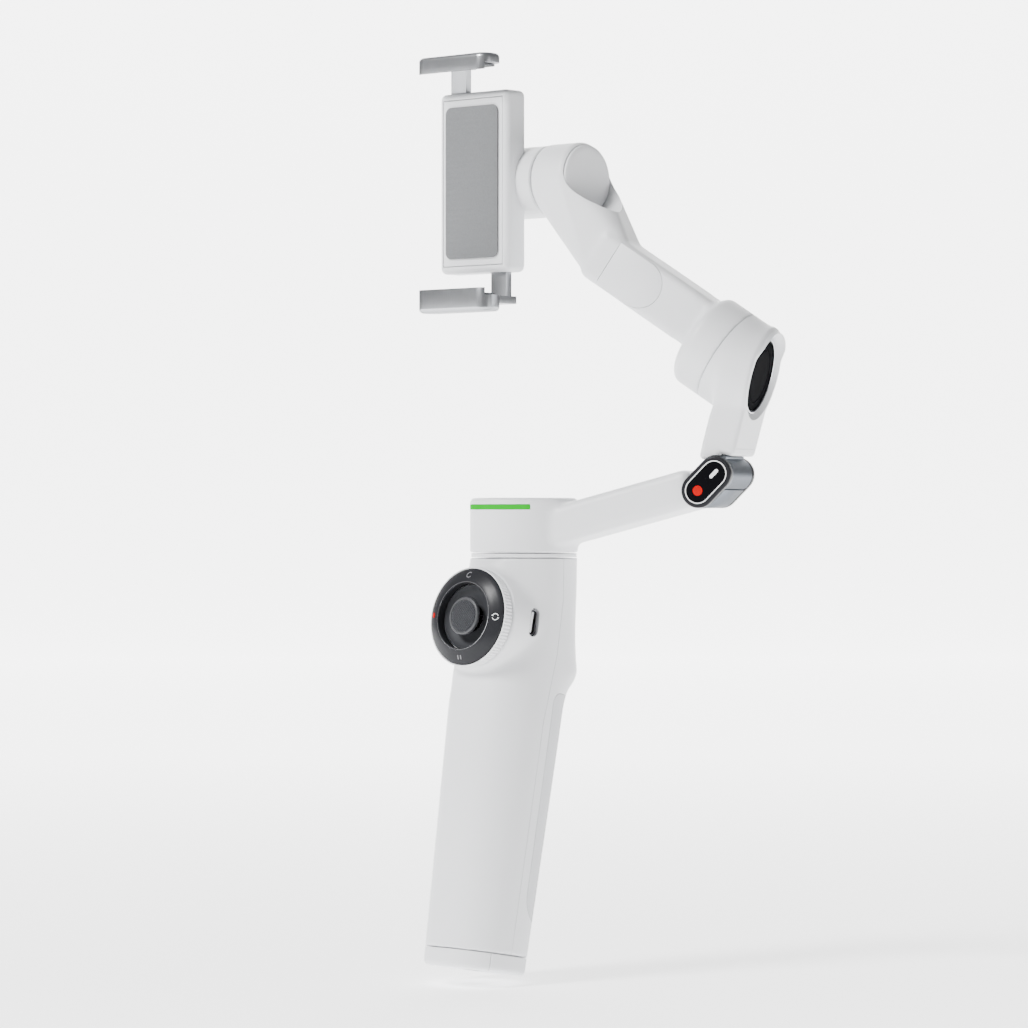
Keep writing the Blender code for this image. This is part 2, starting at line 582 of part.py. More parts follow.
def build_clamp():
    body = box("clamp_body", CLAMP, (-15.8, -4.2, -31), (15.8, 6.0, 31), WHITE, 2.4, 1, 3)
    join(body, cylinder("tilt_can", TILT, 12.2, -22, 2.4, steps=36, bevel=0.8))
    cut(body, box("clamp_cavity", CLAMP, (-13.8, -8, -28.6), (13.8, 2.6, 28.6)))
    cut(body, cylinder("can_cavity", TILT, 10.2, -20.2, -2, steps=28))
    cut(body, box("can_opening", CLAMP, (-0.2, 0, -7), (13, 8, 7)))
    for side in (-1, 1):
        inner, outer = sorted((side * (TONGUE_IN - GAP), side * (TONGUE_OUT + GAP)))
        low, high = sorted((-side * 28.0, -side * 34.0))
        cut(body, box(f"tongue_slot_{side + 2}", CLAMP, (inner, -1.5, low), (outer, 1.7, high)))
    box("clamp_cover", CLAMP, (-13.5, -4.2, -28.3), (13.5, -3.0, 28.3), WHITE)
    box("clamp_pad", CLAMP, (-12, -5.0, -26), (12, -4.5, 26), RUBBER, 1.5, 1)
    cylinder("jaw_pinion", PINION, 5.4, -1.3, 1.1, STEEL, 24)
    rotor = [(0, 13.2), (3.2, 13.2), (3.2, 4.2), (9.0, 4.2), (9.0, 12.0), (10.5, 12.0), (10.5, 2.8), (0, 2.8)]
    turned("tilt_rotor", TILT, rotor, STEEL, 28)
    build_jaw("upper_jaw", 1)
    build_jaw("lower_jaw", -1)


def build_jaw(name, side):
    """A hooked jaw with its sliding tongue; side is 1 for the upper one and -1 for the lower."""
    inner = PHONE_HALF + 0.9
    outer = side * (PHONE_HALF + JAW_RISE[side])
    lip = side * (PHONE_HALF - 1.5)
    outline = [(JAW_FRONT, lip), (JAW_FRONT + 1.3, lip), (JAW_FRONT + 1.3, side * inner),
               (JAW_BACK, side * inner), (JAW_BACK, outer), (JAW_FRONT, outer)]
    frame = CLAMP @ Matrix(((0, 0, 1, 0), (1, 0, 0, 0), (0, 1, 0, 0), (0, 0, 0, 1)))
    jaw = plate(name, frame, outline, -JAW_HALF, JAW_HALF, SILVER)
    keep(jaw, box(f"{name}_corners", CLAMP, (-JAW_HALF, JAW_FRONT, -60), (JAW_HALF, JAW_BACK, 60), None, 4.4, 2, 4))
    x_low, x_high = sorted((-side * (TONGUE_IN - 1.4), -side * (TONGUE_OUT + 1.4)))
    z_low, z_high = sorted((side * inner, side * (inner + 2.6)))
    join(jaw, box(f"{name}_web", CLAMP, (x_low, JAW_BACK - 1, z_low), (x_high, 2.4, z_high)))
    x_low, x_high = sorted((-side * TONGUE_IN, -side * TONGUE_OUT))
    z_low, z_high = sorted((-side * 8.0, side * (inner + 2)))
    join(jaw, box(f"{name}_tongue", CLAMP, (x_low, -1.2, z_low), (x_high, 1.4, z_high)))
    z_low, z_high = sorted((side * PHONE_HALF, side * (inner - GAP)))
    box(f"{name}_pad", CLAMP, (-12.5, -14.3, z_low), (12.5, -6.6, z_high), RUBBER)


build_handle()
build_electronics()
build_rod()
build_tripod()
build_controls()
build_head()
build_hinge()
build_roll_arm()
build_tilt_arm()
build_clamp()
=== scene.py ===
"""The looks of a handheld gimbal stabilizer: fine shells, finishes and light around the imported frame."""
import json
import math

import bpy
import bmesh
from mathutils import Matrix, Vector


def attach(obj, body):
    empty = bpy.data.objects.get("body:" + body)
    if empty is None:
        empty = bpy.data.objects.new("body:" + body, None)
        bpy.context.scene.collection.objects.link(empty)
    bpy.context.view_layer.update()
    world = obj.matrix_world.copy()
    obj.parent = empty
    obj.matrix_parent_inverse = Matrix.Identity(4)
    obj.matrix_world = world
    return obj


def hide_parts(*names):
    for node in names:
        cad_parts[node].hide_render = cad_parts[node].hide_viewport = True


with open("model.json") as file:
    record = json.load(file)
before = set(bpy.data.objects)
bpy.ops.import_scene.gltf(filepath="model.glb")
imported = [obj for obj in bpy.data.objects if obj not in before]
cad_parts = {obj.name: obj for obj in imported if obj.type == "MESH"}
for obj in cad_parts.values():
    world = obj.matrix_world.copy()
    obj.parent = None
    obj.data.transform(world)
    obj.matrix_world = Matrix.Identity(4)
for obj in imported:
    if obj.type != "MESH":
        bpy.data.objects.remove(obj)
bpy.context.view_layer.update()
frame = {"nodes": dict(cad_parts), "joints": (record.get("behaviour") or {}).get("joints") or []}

# ------------------------------------------------------------------ grip
# The grip is two moulded shells of satin white plastic around the telescopic rod and battery, parted
# along the side, with a round boss in front for the control panel. All sizes are in millimetres.
MM = 0.001
GRIP_TILT = math.radians(10.3)
GRIP_LENGTH = 140.6
HALF_WIDTH = 17.8
HALF_DEPTH = 19.0
SHELL_WALL = 2.2
SEAM = 0.16
FOOT_TOP = 6.2
TAPER_START = 55.0
TAPER_END = 0.885
HANDLE_TOP = -0.7
UPPER_END = -52
GRIP_START = 62
DIAL_DROP = 24.8
BOSS_RADIUS = 17.3
BOSS_TOP = 20.3
ROUND = 120
# height, front depth, rear wall and section power down the upper handle
UPPER = [
    (-0.7, 18.2, 18.2, 2.0), (-8, 18.5, 18.3, 2.05), (-16, 18.8, 18.2, 2.1), (-23, 19.0, 17.8, 2.15),
    (-29, 19.2, 17.8, 2.2), (-35, 19.3, 18.5, 2.2), (-39.5, 19.3, 18.9, 2.25), (-42.5, 19.3, 17.2, 2.25),
    (-45, 19.3, 13.9, 2.25), (-47.5, 19.3, 11.7, 2.3), (-52, 19.3, 10.0, 2.3),
]

joints = {joint["name"]: joint for joint in frame["joints"]}
UP = Vector(joints["rod_slide_1"]["axis"])
HEAD_POINT = Vector(joints["pan"]["pos_m"])
RIGHT = Vector((1, 0, 0))
UPRIGHT = Vector((0, 0, 1))


def make_place(origin, x_axis, z_axis):
    """The matrix that puts a piece drawn about its own origin in its place."""
    x = Vector(x_axis).normalized()
    z = Vector(z_axis).normalized()
    turn = Matrix((x, z.cross(x), z)).transposed().to_4x4()
    return Matrix.Translation(Vector(origin)) @ turn


GRIP = make_place((0, 0, 0), RIGHT, UP)
GRIP_SIDE = make_place((0, 0, 0), (0, math.cos(GRIP_TILT), -math.sin(GRIP_TILT)), RIGHT)
HEAD = make_place(HEAD_POINT, RIGHT, UPRIGHT)
PROFILE = make_place(HEAD_POINT, (0, 1, 0), RIGHT)
DIAL = make_place(UP * (GRIP_LENGTH - DIAL_DROP) * MM, RIGHT, joints["dial_turn"]["axis"])


def alone(piece):
    """Select one piece and nothing else."""
    bpy.ops.object.select_all(action="DESELECT")
    piece.select_set(True)
    bpy.context.view_layer.objects.active = piece


def settle(piece, place):
    """Put a piece drawn in millimetres in its place, with the object left at the origin."""
    piece.data.transform(place @ Matrix.Scale(MM, 4))
    piece.data.update()
    return piece


def shaped(piece, kind, **settings):
    """Add one modifier and apply it."""
    alone(piece)
    modifier = piece.modifiers.new(kind.title(), kind)
    for key, value in settings.items():
        setattr(modifier, key, value)
    bpy.ops.object.modifier_apply(modifier=modifier.name)
    return piece


def combine(piece, operation, *others):
    """Join, cut or keep with other pieces, which are used up."""
    for other in others:
        shaped(piece, "BOOLEAN", operation=operation, object=other, solver="EXACT")
        bpy.data.objects.remove(other)
    return piece


def smooth(piece, degrees=30):
    alone(piece)
    bpy.ops.object.shade_smooth_by_angle(angle=math.radians(degrees))
    return piece


def edged(piece, width, segments=3, degrees=30):
    """Round every sharp edge by a small width in millimetres."""
    shaped(piece, "BEVEL", width=width * MM, segments=segments, limit_method="ANGLE",
           angle_limit=math.radians(degrees), use_clamp_overlap=True, harden_normals=False)
    return smooth(piece, 40)


def softened(piece, voxel, rounds):
    """Melt joined shapes together by a fine even mesh and some smoothing."""
    shaped(piece, "REMESH", mode="VOXEL", voxel_size=voxel * MM, use_smooth_shade=True)
    return shaped(piece, "SMOOTH", factor=0.5, iterations=rounds)


def outward(piece):
    """Turn every face outwards."""
    alone(piece)
    bpy.ops.object.mode_set(mode="EDIT")
    bpy.ops.mesh.select_all(action="SELECT")
    bpy.ops.mesh.normals_make_consistent(inside=False)
    bpy.ops.object.mode_set(mode="OBJECT")


def tower(name, levels, sides=ROUND):
    """A closed tube of rings one unit apart, from a circle extruded level by level."""
    bpy.ops.object.select_all(action="DESELECT")
    bpy.ops.mesh.primitive_circle_add(vertices=sides, radius=1, fill_type="NGON")
    piece = bpy.context.object
    piece.name = name
    bpy.ops.object.mode_set(mode="EDIT")
    bpy.ops.mesh.select_all(action="SELECT")
    for _ in range(levels):
        bpy.ops.mesh.extrude_region_move(TRANSFORM_OT_translate={"value": (0, 0, 1)})
    bpy.ops.mesh.select_all(action="SELECT")
    bpy.ops.mesh.normals_make_consistent(inside=False)
    bpy.ops.object.mode_set(mode="OBJECT")
    return piece


def lathe(name, place, profile, sides=ROUND, ring=False):
    """A turned piece from (radius, height) points; a ring closes on itself, or its ends are capped."""
    bpy.ops.object.select_all(action="DESELECT")
    bpy.ops.mesh.primitive_circle_add(vertices=sides, radius=profile[0][0], fill_type="NOTHING",
                                      location=(0, 0, profile[0][1]))
    piece = bpy.context.object
    piece.name = name
    bpy.ops.object.transform_apply(location=True)
    bpy.ops.object.mode_set(mode="EDIT")
    bpy.ops.mesh.select_all(action="SELECT")
    if not ring:
        bpy.ops.mesh.edge_face_add()
        bpy.ops.mesh.select_all(action="SELECT")
    for (radius, height), (new_radius, new_height) in zip(profile, profile[1:]):
        rise = {"value": (0, 0, new_height - height)}
        if ring:
            bpy.ops.mesh.extrude_edges_move(TRANSFORM_OT_translate=rise)
        else:
            bpy.ops.mesh.extrude_region_move(TRANSFORM_OT_translate=rise)
        scale = new_radius / radius
        bpy.ops.transform.resize(value=(scale, scale, 1), center_override=(0, 0, new_height))
    if ring:
        bpy.ops.mesh.select_all(action="DESELECT")
        bpy.ops.mesh.select_non_manifold()
        bpy.ops.mesh.bridge_edge_loops()
    bpy.ops.mesh.select_all(action="SELECT")
    bpy.ops.mesh.normals_make_consistent(inside=False)
    bpy.ops.object.mode_set(mode="OBJECT")
    return settle(piece, place)


def prism(name, place, outline, low, high):
    """A flat outline extruded between two heights."""
    piece = tower(name, 1, len(outline))
    for vertex in piece.data.vertices:
        angle = math.atan2(vertex.co.x, vertex.co.y)
        index = round(angle / math.tau * len(outline)) % len(outline)
        x, y = outline[-index]
        vertex.co = (x, y, low if vertex.co.z < 0.5 else high)
    outward(piece)
    return settle(piece, place)


def block(name, place, low, high, width=0.0, segments=4):
    """A box between two corners, with its edges rounded."""
    bpy.ops.object.select_all(action="DESELECT")
    size = Vector(high) - Vector(low)
    bpy.ops.mesh.primitive_cube_add(size=1, location=(Vector(low) + Vector(high)) / 2, scale=size)
    piece = bpy.context.object
    piece.name = name
    bpy.ops.object.transform_apply(location=True, scale=True)
    if width:
        bpy.ops.object.mode_set(mode="EDIT")
        bpy.ops.mesh.select_all(action="SELECT")
        bpy.ops.mesh.bevel(offset=width, segments=segments, affect="EDGES")
        bpy.ops.object.mode_set(mode="OBJECT")
    return settle(piece, place)


def arc(centre, radius, start, end, steps):
    angles = [math.radians(start + (end - start) * i / steps) for i in range(steps + 1)]
    return [(centre[0] + radius * math.cos(a), centre[1] + radius * math.sin(a)) for a in angles]


def stadium(length, radius, steps=16):
    half = length / 2 - radius
    return arc((half, 0), radius, -90, 90, steps) + arc((-half, 0), radius, 90, 270, steps)


def blended(table, key):
    """Values between the rows of a table, on a smooth curve through them, by falling key."""
    rows = [table[0]] + list(table) + [table[-1]]
    for before, start, end, after in zip(rows, rows[1:], rows[2:], rows[3:]):
        if start[0] >= key >= end[0]:
            break
    t = (start[0] - key) / max(start[0] - end[0], 1e-6)
    values = []
    for a, b, c, d in zip(before[1:], start[1:], end[1:], after[1:]):
        values.append(0.5 * (2 * b + (c - a) * t + (2 * a - 5 * b + 4 * c - d) * t ** 2
                             + (3 * b - a - 3 * c + d) * t ** 3))
    return values


def section_point(angle, power, half_width, front, rear):
    c = math.cos(angle)
    s = math.sin(angle)
    x = math.copysign(abs(c) ** (2 / power), c) * half_width
    return x, math.copysign(abs(s) ** (2 / power), s) * (rear if s > 0 else front)


def level_point(angle, height, inset):
    front, rear_wall, power = blended(UPPER, max(min(height, HANDLE_TOP), UPPER_END))
    centre = height * math.tan(GRIP_TILT)
    width = HALF_WIDTH + 0.2 * max(0, 1 + height / 16) - inset
    x, depth = section_point(angle, power, width, front - inset, rear_wall - centre - inset)
    return Vector((x, centre + depth, height))


def grip_point(angle, drop, inset):
    taper = 1 - (1 - TAPER_END) * (drop - TAPER_START) / (GRIP_LENGTH - TAPER_START)
    half_depth = HALF_DEPTH * taper - inset
    x, depth = section_point(angle, 2.3, HALF_WIDTH * taper - inset, half_depth, half_depth)
    across = Vector((0, math.cos(GRIP_TILT), -math.sin(GRIP_TILT)))
    return -UP * drop + RIGHT * x + across * depth


def handle_form(name, inset=0.0, over=0.0):
    """The outer form of the whole handle above the feet, from the head seam down."""
    heights = [HANDLE_TOP - 51.3 * i / 44 for i in range(45)]
    drops = [GRIP_START + (GRIP_LENGTH - FOOT_TOP - GRIP_START) * i / 16 for i in range(17)]
    if over:
        heights.insert(0, heights[0] + over)
        drops.append(drops[-1] + over)
    piece = tower(name, len(heights) + len(drops) - 1)
    for vertex in piece.data.vertices:
        angle = math.atan2(vertex.co.y, vertex.co.x)
        level = round(vertex.co.z)
        if level < len(heights):
            vertex.co = level_point(angle, heights[level], inset)
        else:
            vertex.co = grip_point(angle, drops[level - len(heights)], inset)
    outward(piece)
    return settle(piece, HEAD)


def duplicate(piece, name):
    twin = piece.copy()
    twin.data = piece.data.copy()
    twin.name = name
    bpy.context.scene.collection.objects.link(twin)
    return twin


def melt_boss(piece):
    """Smooth only the join of the round boss and the handle, as a moulded fillet."""
    group = piece.vertex_groups.new(name="join")
    back = DIAL.inverted()
    for vertex in piece.data.vertices:
        local = (back @ vertex.co) / MM
        ring = abs(math.hypot(local.x, local.y) - BOSS_RADIUS)
        if 3 < local.z < BOSS_TOP - 0.9 and ring < 4.5:
            fade = min(1.0, (4.5 - ring) / 1.5, (BOSS_TOP - 0.9 - local.z) / 0.8)
            group.add([vertex.index], fade, "REPLACE")
    shaped(piece, "SMOOTH", factor=0.5, iterations=60, vertex_group="join")
    piece.vertex_groups.clear()


def seam_line(shift):
    slope = math.tan(GRIP_TILT)
    return [(shift, 5), (shift, -15), (shift - 3.1, -33), (shift - 10, -55), (shift - 160 * slope, -160)]


def pad_outline(grow):
    lower = arc((13.0, 27.0), 9.0 + grow, 180, 262, 12)
    upper = arc((8.0, 91.0), 4.0 + grow, 90, 180, 8)
    return [(30, 95 + grow)] + upper + lower + [(30, 17.5 - grow)]


form = handle_form("form")
combine(form, "UNION", lathe("boss", DIAL, [
    (BOSS_RADIUS - 0.2, 2), (BOSS_RADIUS, 3), (BOSS_RADIUS, BOSS_TOP - 0.5), (BOSS_RADIUS - 0.5, BOSS_TOP)]))
softened(form, 0.55, 3)
melt_boss(form)

hollow = handle_form("hollow", SHELL_WALL, 4)
back_form = duplicate(form, "handle_rear")
pad_form = duplicate(form, "grip_pad")
front = form
front.name = "handle_front"
port_out = Vector((math.cos(math.radians(30)), -math.sin(math.radians(30)), 0))
PORT = make_place(HEAD_POINT + Vector((0, -4, -22)) * MM, UP - port_out * UP.dot(port_out), port_out)
combine(front, "DIFFERENCE", duplicate(hollow, "cut"),
        lathe("cut", DIAL, [(15.4, 8), (15.4, 18.9)]), lathe("cut", DIAL, [(12.6, 8), (12.6, 24)]),
        prism("cut", PORT, stadium(9.6, 1.9), 14, 24),
        prism("cut", PROFILE, seam_line(-SEAM / 2) + [(60, -160), (60, 5)], -30, 30))
combine(back_form, "DIFFERENCE", duplicate(hollow, "cut"),
        block("cut", HEAD, (-4.6, 12, -33.5), (4.6, 24, -19.5), 1.6),
        prism("cut", PROFILE, seam_line(SEAM / 2) + [(-60, -160), (-60, 5)], -30, 30))
pocket = duplicate(pad_form, "pocket")
shaped(pocket, "DISPLACE", strength=0.4 * MM, mid_level=0.0)
combine(pocket, "INTERSECT", prism("area", GRIP_SIDE, pad_outline(SEAM), -30, 30))
combine(pocket, "DIFFERENCE", handle_form("floor", 1.2, 4))
combine(back_form, "DIFFERENCE", pocket)
combine(pad_form, "INTERSECT", prism("area", GRIP_SIDE, pad_outline(0), -30, 30))
combine(pad_form, "DIFFERENCE", handle_form("floor", 0.9, 4))
bpy.data.objects.remove(hollow)
for shell in (front, back_form, pad_form):
    smooth(shell, 35)


class Socket:
    """One shader socket; arithmetic on it adds the Math nodes that work it out."""

    def __init__(self, tree, output):
        self.tree = tree
        self.output = output

    def node(self, kind, settings=None, values=None, out=0):
        """Any other node: settings first, then the values or links of its sockets."""
        made = self.tree.nodes.new(kind)
        for key, value in (settings or {}).items():
            if key == "stops":
                fill_ramp(made.color_ramp, value)
            else:
                setattr(made, key, value)
        for key, value in (values or {}).items():
            if isinstance(value, Socket):
                self.tree.links.new(value.output, made.inputs[key])
            else:
                made.inputs[key].default_value = value
        return Socket(self.tree, made.outputs[out])

    def math(self, operation, first, second=0.0):
        return self.node("ShaderNodeMath", {"operation": operation}, {0: first, 1: second})

    def __add__(self, other):
        return self.math("ADD", self, other)

    def __sub__(self, other):
        return self.math("SUBTRACT", self, other)

    def __rsub__(self, other):
        return self.math("SUBTRACT", other, self)

    def __mul__(self, other):
        return self.math("MULTIPLY", self, other)

    __radd__ = __add__
    __rmul__ = __mul__


def fill_ramp(ramp, stops):
    while len(ramp.elements) < len(stops):
        ramp.elements.new(0.5)
    for element, (position, colour) in zip(ramp.elements, stops):
        element.position = position
        element.color = (*colour, 1.0)


def new_material(name, colour, roughness, metallic=0.0, **constants):
    """A Principled material with plain socket values, and the point that its patterns start from."""
    material = bpy.data.materials.new(name)
    material.use_nodes = True
    shader = material.node_tree.nodes["Principled BSDF"]
    shader.inputs["Base Color"].default_value = (*colour, 1.0)
    shader.inputs["Roughness"].default_value = roughness
    shader.inputs["Metallic"].default_value = metallic
    for key, value in constants.items():
        shader.inputs[key.replace("_", " ")].default_value = value
    coordinates = material.node_tree.nodes.new("ShaderNodeTexCoord")
    return material, shader, Socket(material.node_tree, coordinates.outputs["Object"])


def feed(shader, **inputs):
    for key, value in inputs.items():
        value.tree.links.new(value.output, shader.inputs[key.replace("_", " ")])


def noise(point, scale, detail=3.0, rough=0.5):
    return point.node("ShaderNodeTexNoise", None, {"Vector": point, "Scale": scale, "Detail": detail,
                                                  "Roughness": rough})


def mixed(point, factor, first, second):
    return point.node("ShaderNodeMix", {"data_type": "RGBA"},
                      {0: factor, 6: (*first, 1.0), 7: (*second, 1.0)}, out=2)


def bump(point, height, distance, strength=1.0):
    return point.node("ShaderNodeBump", None, {"Height": height, "Distance": distance, "Strength": strength})


def moulded(name, light, dark, roughness, grain=0.00002, coat=0.0):
    """Moulded plastic: a faint flow of tone, fine spark-eroded grain and uneven gloss."""
    material, shader, point = new_material(name, light, roughness, Coat_Weight=coat, Coat_Roughness=0.25)
    shader.inputs["IOR"].default_value = 1.48
    flow = noise(point, 22.0, 4.0)
    grains = noise(point, 5200.0, 2.0, 0.6)
    wear = noise(point, 160.0, 5.0, 0.65)
    tone = mixed(point, flow * 0.7 + grains * 0.3, dark, light)
    feed(shader, Base_Color=tone, Roughness=wear * 0.12 + grains * 0.05 + (roughness - 0.085),
         Normal=bump(point, grains, grain, 0.5))
    return material


white = moulded("satin_white_plastic", (0.81, 0.818, 0.832), (0.765, 0.775, 0.795), 0.42)
soft_white = moulded("soft_white_rubber", (0.68, 0.688, 0.705), (0.62, 0.63, 0.65), 0.6, 0.00005)


def finish(piece, material, body, slot, *nodes):
    piece.data.materials.clear()
    piece.data.materials.append(material)
    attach(piece, body)
    if nodes:
        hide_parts(*nodes)


finish(front, white, "handle", "white_plastic", "handle_front_shell")
finish(back_form, white, "handle", "white_plastic", "handle_rear_shell")
finish(pad_form, soft_white, "handle", "soft_rubber", "rear_grip_pad")

# ------------------------------------------------------------------ tripod feet
# Three legs fold together inside the grip; their feet close its end, flush with the shells, as moulded
# plastic sectors around the hub's stem.
LEG_BAR = 12.6
EDGE = 1.6
LEVELS = 12
HALF_LEVELS = 6
for number in range(3):
    foot = tower("foot", LEVELS)
    for vertex in foot.data.vertices:
        angle = math.atan2(vertex.co.y, vertex.co.x)
        level = round(vertex.co.z)
        turn = level / HALF_LEVELS * math.pi / 2
        rounded = level < HALF_LEVELS
        inset = EDGE * (1 - math.sin(turn)) if rounded else 0.0
        height = EDGE * (1 - math.cos(turn)) if rounded else 5.95 - (LEVELS - level) * 0.69
        vertex.co = HEAD.to_3x3() @ grip_point(angle, GRIP_LENGTH - height, inset)
    settle(foot, HEAD)
    combine(foot, "UNION", lathe("bar", GRIP, [(LEG_BAR, 3), (LEG_BAR, 52.2), (LEG_BAR - 1, 53.2)], 64))
    facing = -90 + 120 * number
    apex = (0.1 * math.cos(math.radians(facing)), 0.1 * math.sin(math.radians(facing)))
    wedge = [apex] + arc(apex, 45, facing - 60, facing + 60, 6)
    combine(foot, "INTERSECT", prism("wedge", GRIP, wedge, -5, 60))
    combine(foot, "DIFFERENCE", lathe("cut", GRIP, [(3.5, -5), (3.5, 60)], 48))
    foot.name = f"foot_{number + 1}"
    edged(foot, 0.12, 2)
    finish(foot, white, "tripod", "white_plastic", f"tripod_leg_{number + 1}")

# ------------------------------------------------------------------ control dial
# A knurled white wheel turns around the panel. It is moulded with ninety fine ribs on its rim and is
# held in the boss by a lipped hub.
RIBS = 90
RIB_DEPTH = 0.45
dial = lathe("dial_wheel", DIAL, [
    (16.62, 24.2), (16.82, 24.05), (16.9, 23.75), (16.9, 20.95), (16.7, 20.6), (12.2, 20.6), (12.2, 17.9),
    (13.4, 17.9), (13.4, 16.9), (11.3, 16.9), (11.3, 21.3), (14.7, 21.3), (14.7, 22.2), (16.35, 22.2),
    (16.35, 24.1), (16.45, 24.2)], RIBS * 4, ring=True)
to_dial = DIAL.inverted()
for vertex in dial.data.vertices:
    local = to_dial @ vertex.co
    radius = math.hypot(local.x, local.y) / MM
    step = round((math.atan2(local.y, local.x) / math.tau) * RIBS * 4) % 4
    if radius > 16.86 and step in (0, 1):
        shrink = (radius - RIB_DEPTH) / radius
        vertex.co = DIAL @ Vector((local.x * shrink, local.y * shrink, local.z))
smooth(dial, 25)
finish(dial, white, "dial", "white_plastic", "control_dial")

# ------------------------------------------------------------------ four-way ring
# A sloping black ring rocks under the thumb in four directions. It is satin black plastic with a bright
# turned edge, and printed marks in grey, white and red.
RING_SLOPE = math.radians(25)
MARK = (-0.25, 0.12)
SWITCH_RADIUS = 1.05
TIP_RADIUS = 0.42
black = moulded("charcoal_plastic", (0.022, 0.023, 0.026), (0.012, 0.012, 0.014), 0.36, 0.000012, 0.15)
gloss_black = moulded("gloss_black", (0.006, 0.006, 0.007), (0.003, 0.003, 0.004), 0.3, 0.000006)
mark_grey = moulded("grey_print", (0.2, 0.2, 0.21), (0.16, 0.16, 0.17), 0.5)
mark_white = moulded("white_print", (0.85, 0.85, 0.85), (0.8, 0.8, 0.8), 0.45)
mark_red = moulded("red_print", (0.5, 0.004, 0.004), (0.42, 0.003, 0.003), 0.45)
dish_black = moulded("dish_plastic", (0.045, 0.047, 0.052), (0.03, 0.031, 0.035), 0.5)
for dark, ior in ((gloss_black, 1.015), (black, 1.16), (mark_red, 1.04), (dish_black, 1.2)):
    dark.node_tree.nodes["Principled BSDF"].inputs["IOR"].default_value = ior

ring = lathe("four_way_ring", DIAL, [
    (11.6, 26.62), (12.4, 26.42), (13.6, 25.9), (14.8, 25.32), (15.7, 24.86), (16.02, 24.6), (16.1, 24.3),
    (16.1, 23.3), (15.9, 23.2), (11.3, 23.2), (11.3, 26.3)], ring=True)
smooth(ring, 35)
finish(ring, black, "button_ring", "black_plastic", "button_ring")


def brushed(name, light, dark, roughness, stretch, metallic=1.0, grain=0.00001, edge=0.8):
    """Metal with fine lines along one axis of the object, and a soft change of gloss."""
    material, shader, point = new_material(name, light, roughness, metallic,
                                           Specular_Tint=(edge, edge, edge, 1))
    lines = point.node("ShaderNodeMapping", None, {"Vector": point, "Scale": stretch})
    streaks = noise(lines, 900.0, 3.0, 0.6)
    haze = noise(point, 60.0, 3.0)
    feed(shader, Base_Color=mixed(point, streaks * 0.6 + haze * 0.4, dark, light),
         Roughness=streaks * 0.14 + haze * 0.08 + (roughness - 0.11),
         Normal=bump(point, streaks, grain, 0.4))
    return material


bright = brushed("bright_trim", (0.75, 0.76, 0.78), (0.6, 0.61, 0.63), 0.2, (1, 1, 1))
trim = lathe("ring_trim", DIAL, [(11.62, 26.5), (11.55, 26.68), (11.35, 26.7), (11.28, 26.5), (11.28, 26.2),
                                 (11.62, 26.2)], ring=True)
smooth(trim, 40)
finish(trim, bright, "button_ring", "silver_aluminium")


def on_ring(degrees):
    """A place on the ring's slope, with y pointing outwards."""
    angle = math.radians(degrees)
    out = Vector((math.cos(angle), math.sin(angle), 0))
    normal = out * math.sin(RING_SLOPE) + UPRIGHT * math.cos(RING_SLOPE)
    local = make_place(out * 13.9 * MM + UPRIGHT * 25.73 * MM, UPRIGHT.cross(out) * -1, normal)
    return DIAL @ local


def arc_mark(name, place, radius, width, start, end):
    outline = arc((0, 0), radius + width / 2, start, end, 14)
    outline += arc((0, 0), radius - width / 2, end, start, 14)
    return prism(name, place, outline, *MARK)


finish(arc_mark("mode_mark", on_ring(90), 1.0, 0.26, 50, 330), mark_grey, "button_ring", "black_plastic")
switch = on_ring(0) @ Matrix.Rotation(math.radians(90), 4, "Z")
for number, start in enumerate((20, 200)):
    mark = arc_mark(f"switch_arc_{number + 1}", switch, SWITCH_RADIUS, 0.24, start, start + 130)
    finish(mark, mark_white, "button_ring", "black_plastic")
    tip = math.radians(start + 138)
    centre = (SWITCH_RADIUS * math.cos(tip), SWITCH_RADIUS * math.sin(tip))
    corners = [tip + 0.5 + k * math.tau / 3 for k in range(3)]
    points = [(centre[0] + TIP_RADIUS * math.cos(a), centre[1] + TIP_RADIUS * math.sin(a)) for a in corners]
    mark = prism(f"switch_tip_{number + 1}", switch, points, *MARK)
    finish(mark, mark_white, "button_ring", "black_plastic")
bars = on_ring(-90)
for number, x in enumerate((-0.6, 0.6)):
    mark = block(f"menu_bar_{number + 1}", bars, (x - 0.22, -0.75, MARK[0]), (x + 0.22, 0.75, MARK[1]), 0.08, 2)
    finish(mark, mark_grey, "button_ring", "black_plastic")
dot = lathe("record_dot", on_ring(180), [(0.85, -0.25), (0.85, 0.1), (0.7, 0.15)], 40)
finish(smooth(dot), mark_red, "button_ring", "black_plastic")

# ------------------------------------------------------------------ joystick
# A thumb stick stands in a dark dish. Its cap is soft black plastic with a cut diamond grip on top and
# a slightly lighter grey rim, pressed on a steel stem.
dish = lathe("stick_dish", DIAL, [
    (10.95, 23.6), (10.95, 11.3), (10.2, 11.3), (10.2, 21.4), (8.0, 20.95), (4.6, 20.8), (4.6, 21.6),
    (5.0, 21.75), (7.5, 21.95), (9.4, 22.5), (10.4, 23.3), (10.65, 23.6)], ring=True)
smooth(dish, 40)
finish(dish, dish_black, "handle", "black_plastic", "joystick_dish")
rim_grey = moulded("cap_rim_grey", (0.06, 0.062, 0.067), (0.042, 0.043, 0.047), 0.4, 0.00001)
cap = lathe("stick_cap", DIAL, [
    (5.5, 26.1), (5.62, 26.42), (5.85, 26.5), (6.15, 26.42), (6.36, 26.15), (6.4, 25.8), (6.4, 25.25),
    (6.2, 24.95), (5.2, 24.6)], 96)
smooth(cap, 40)
finish(cap, rim_grey, "stick", "black_plastic", "joystick_cap")

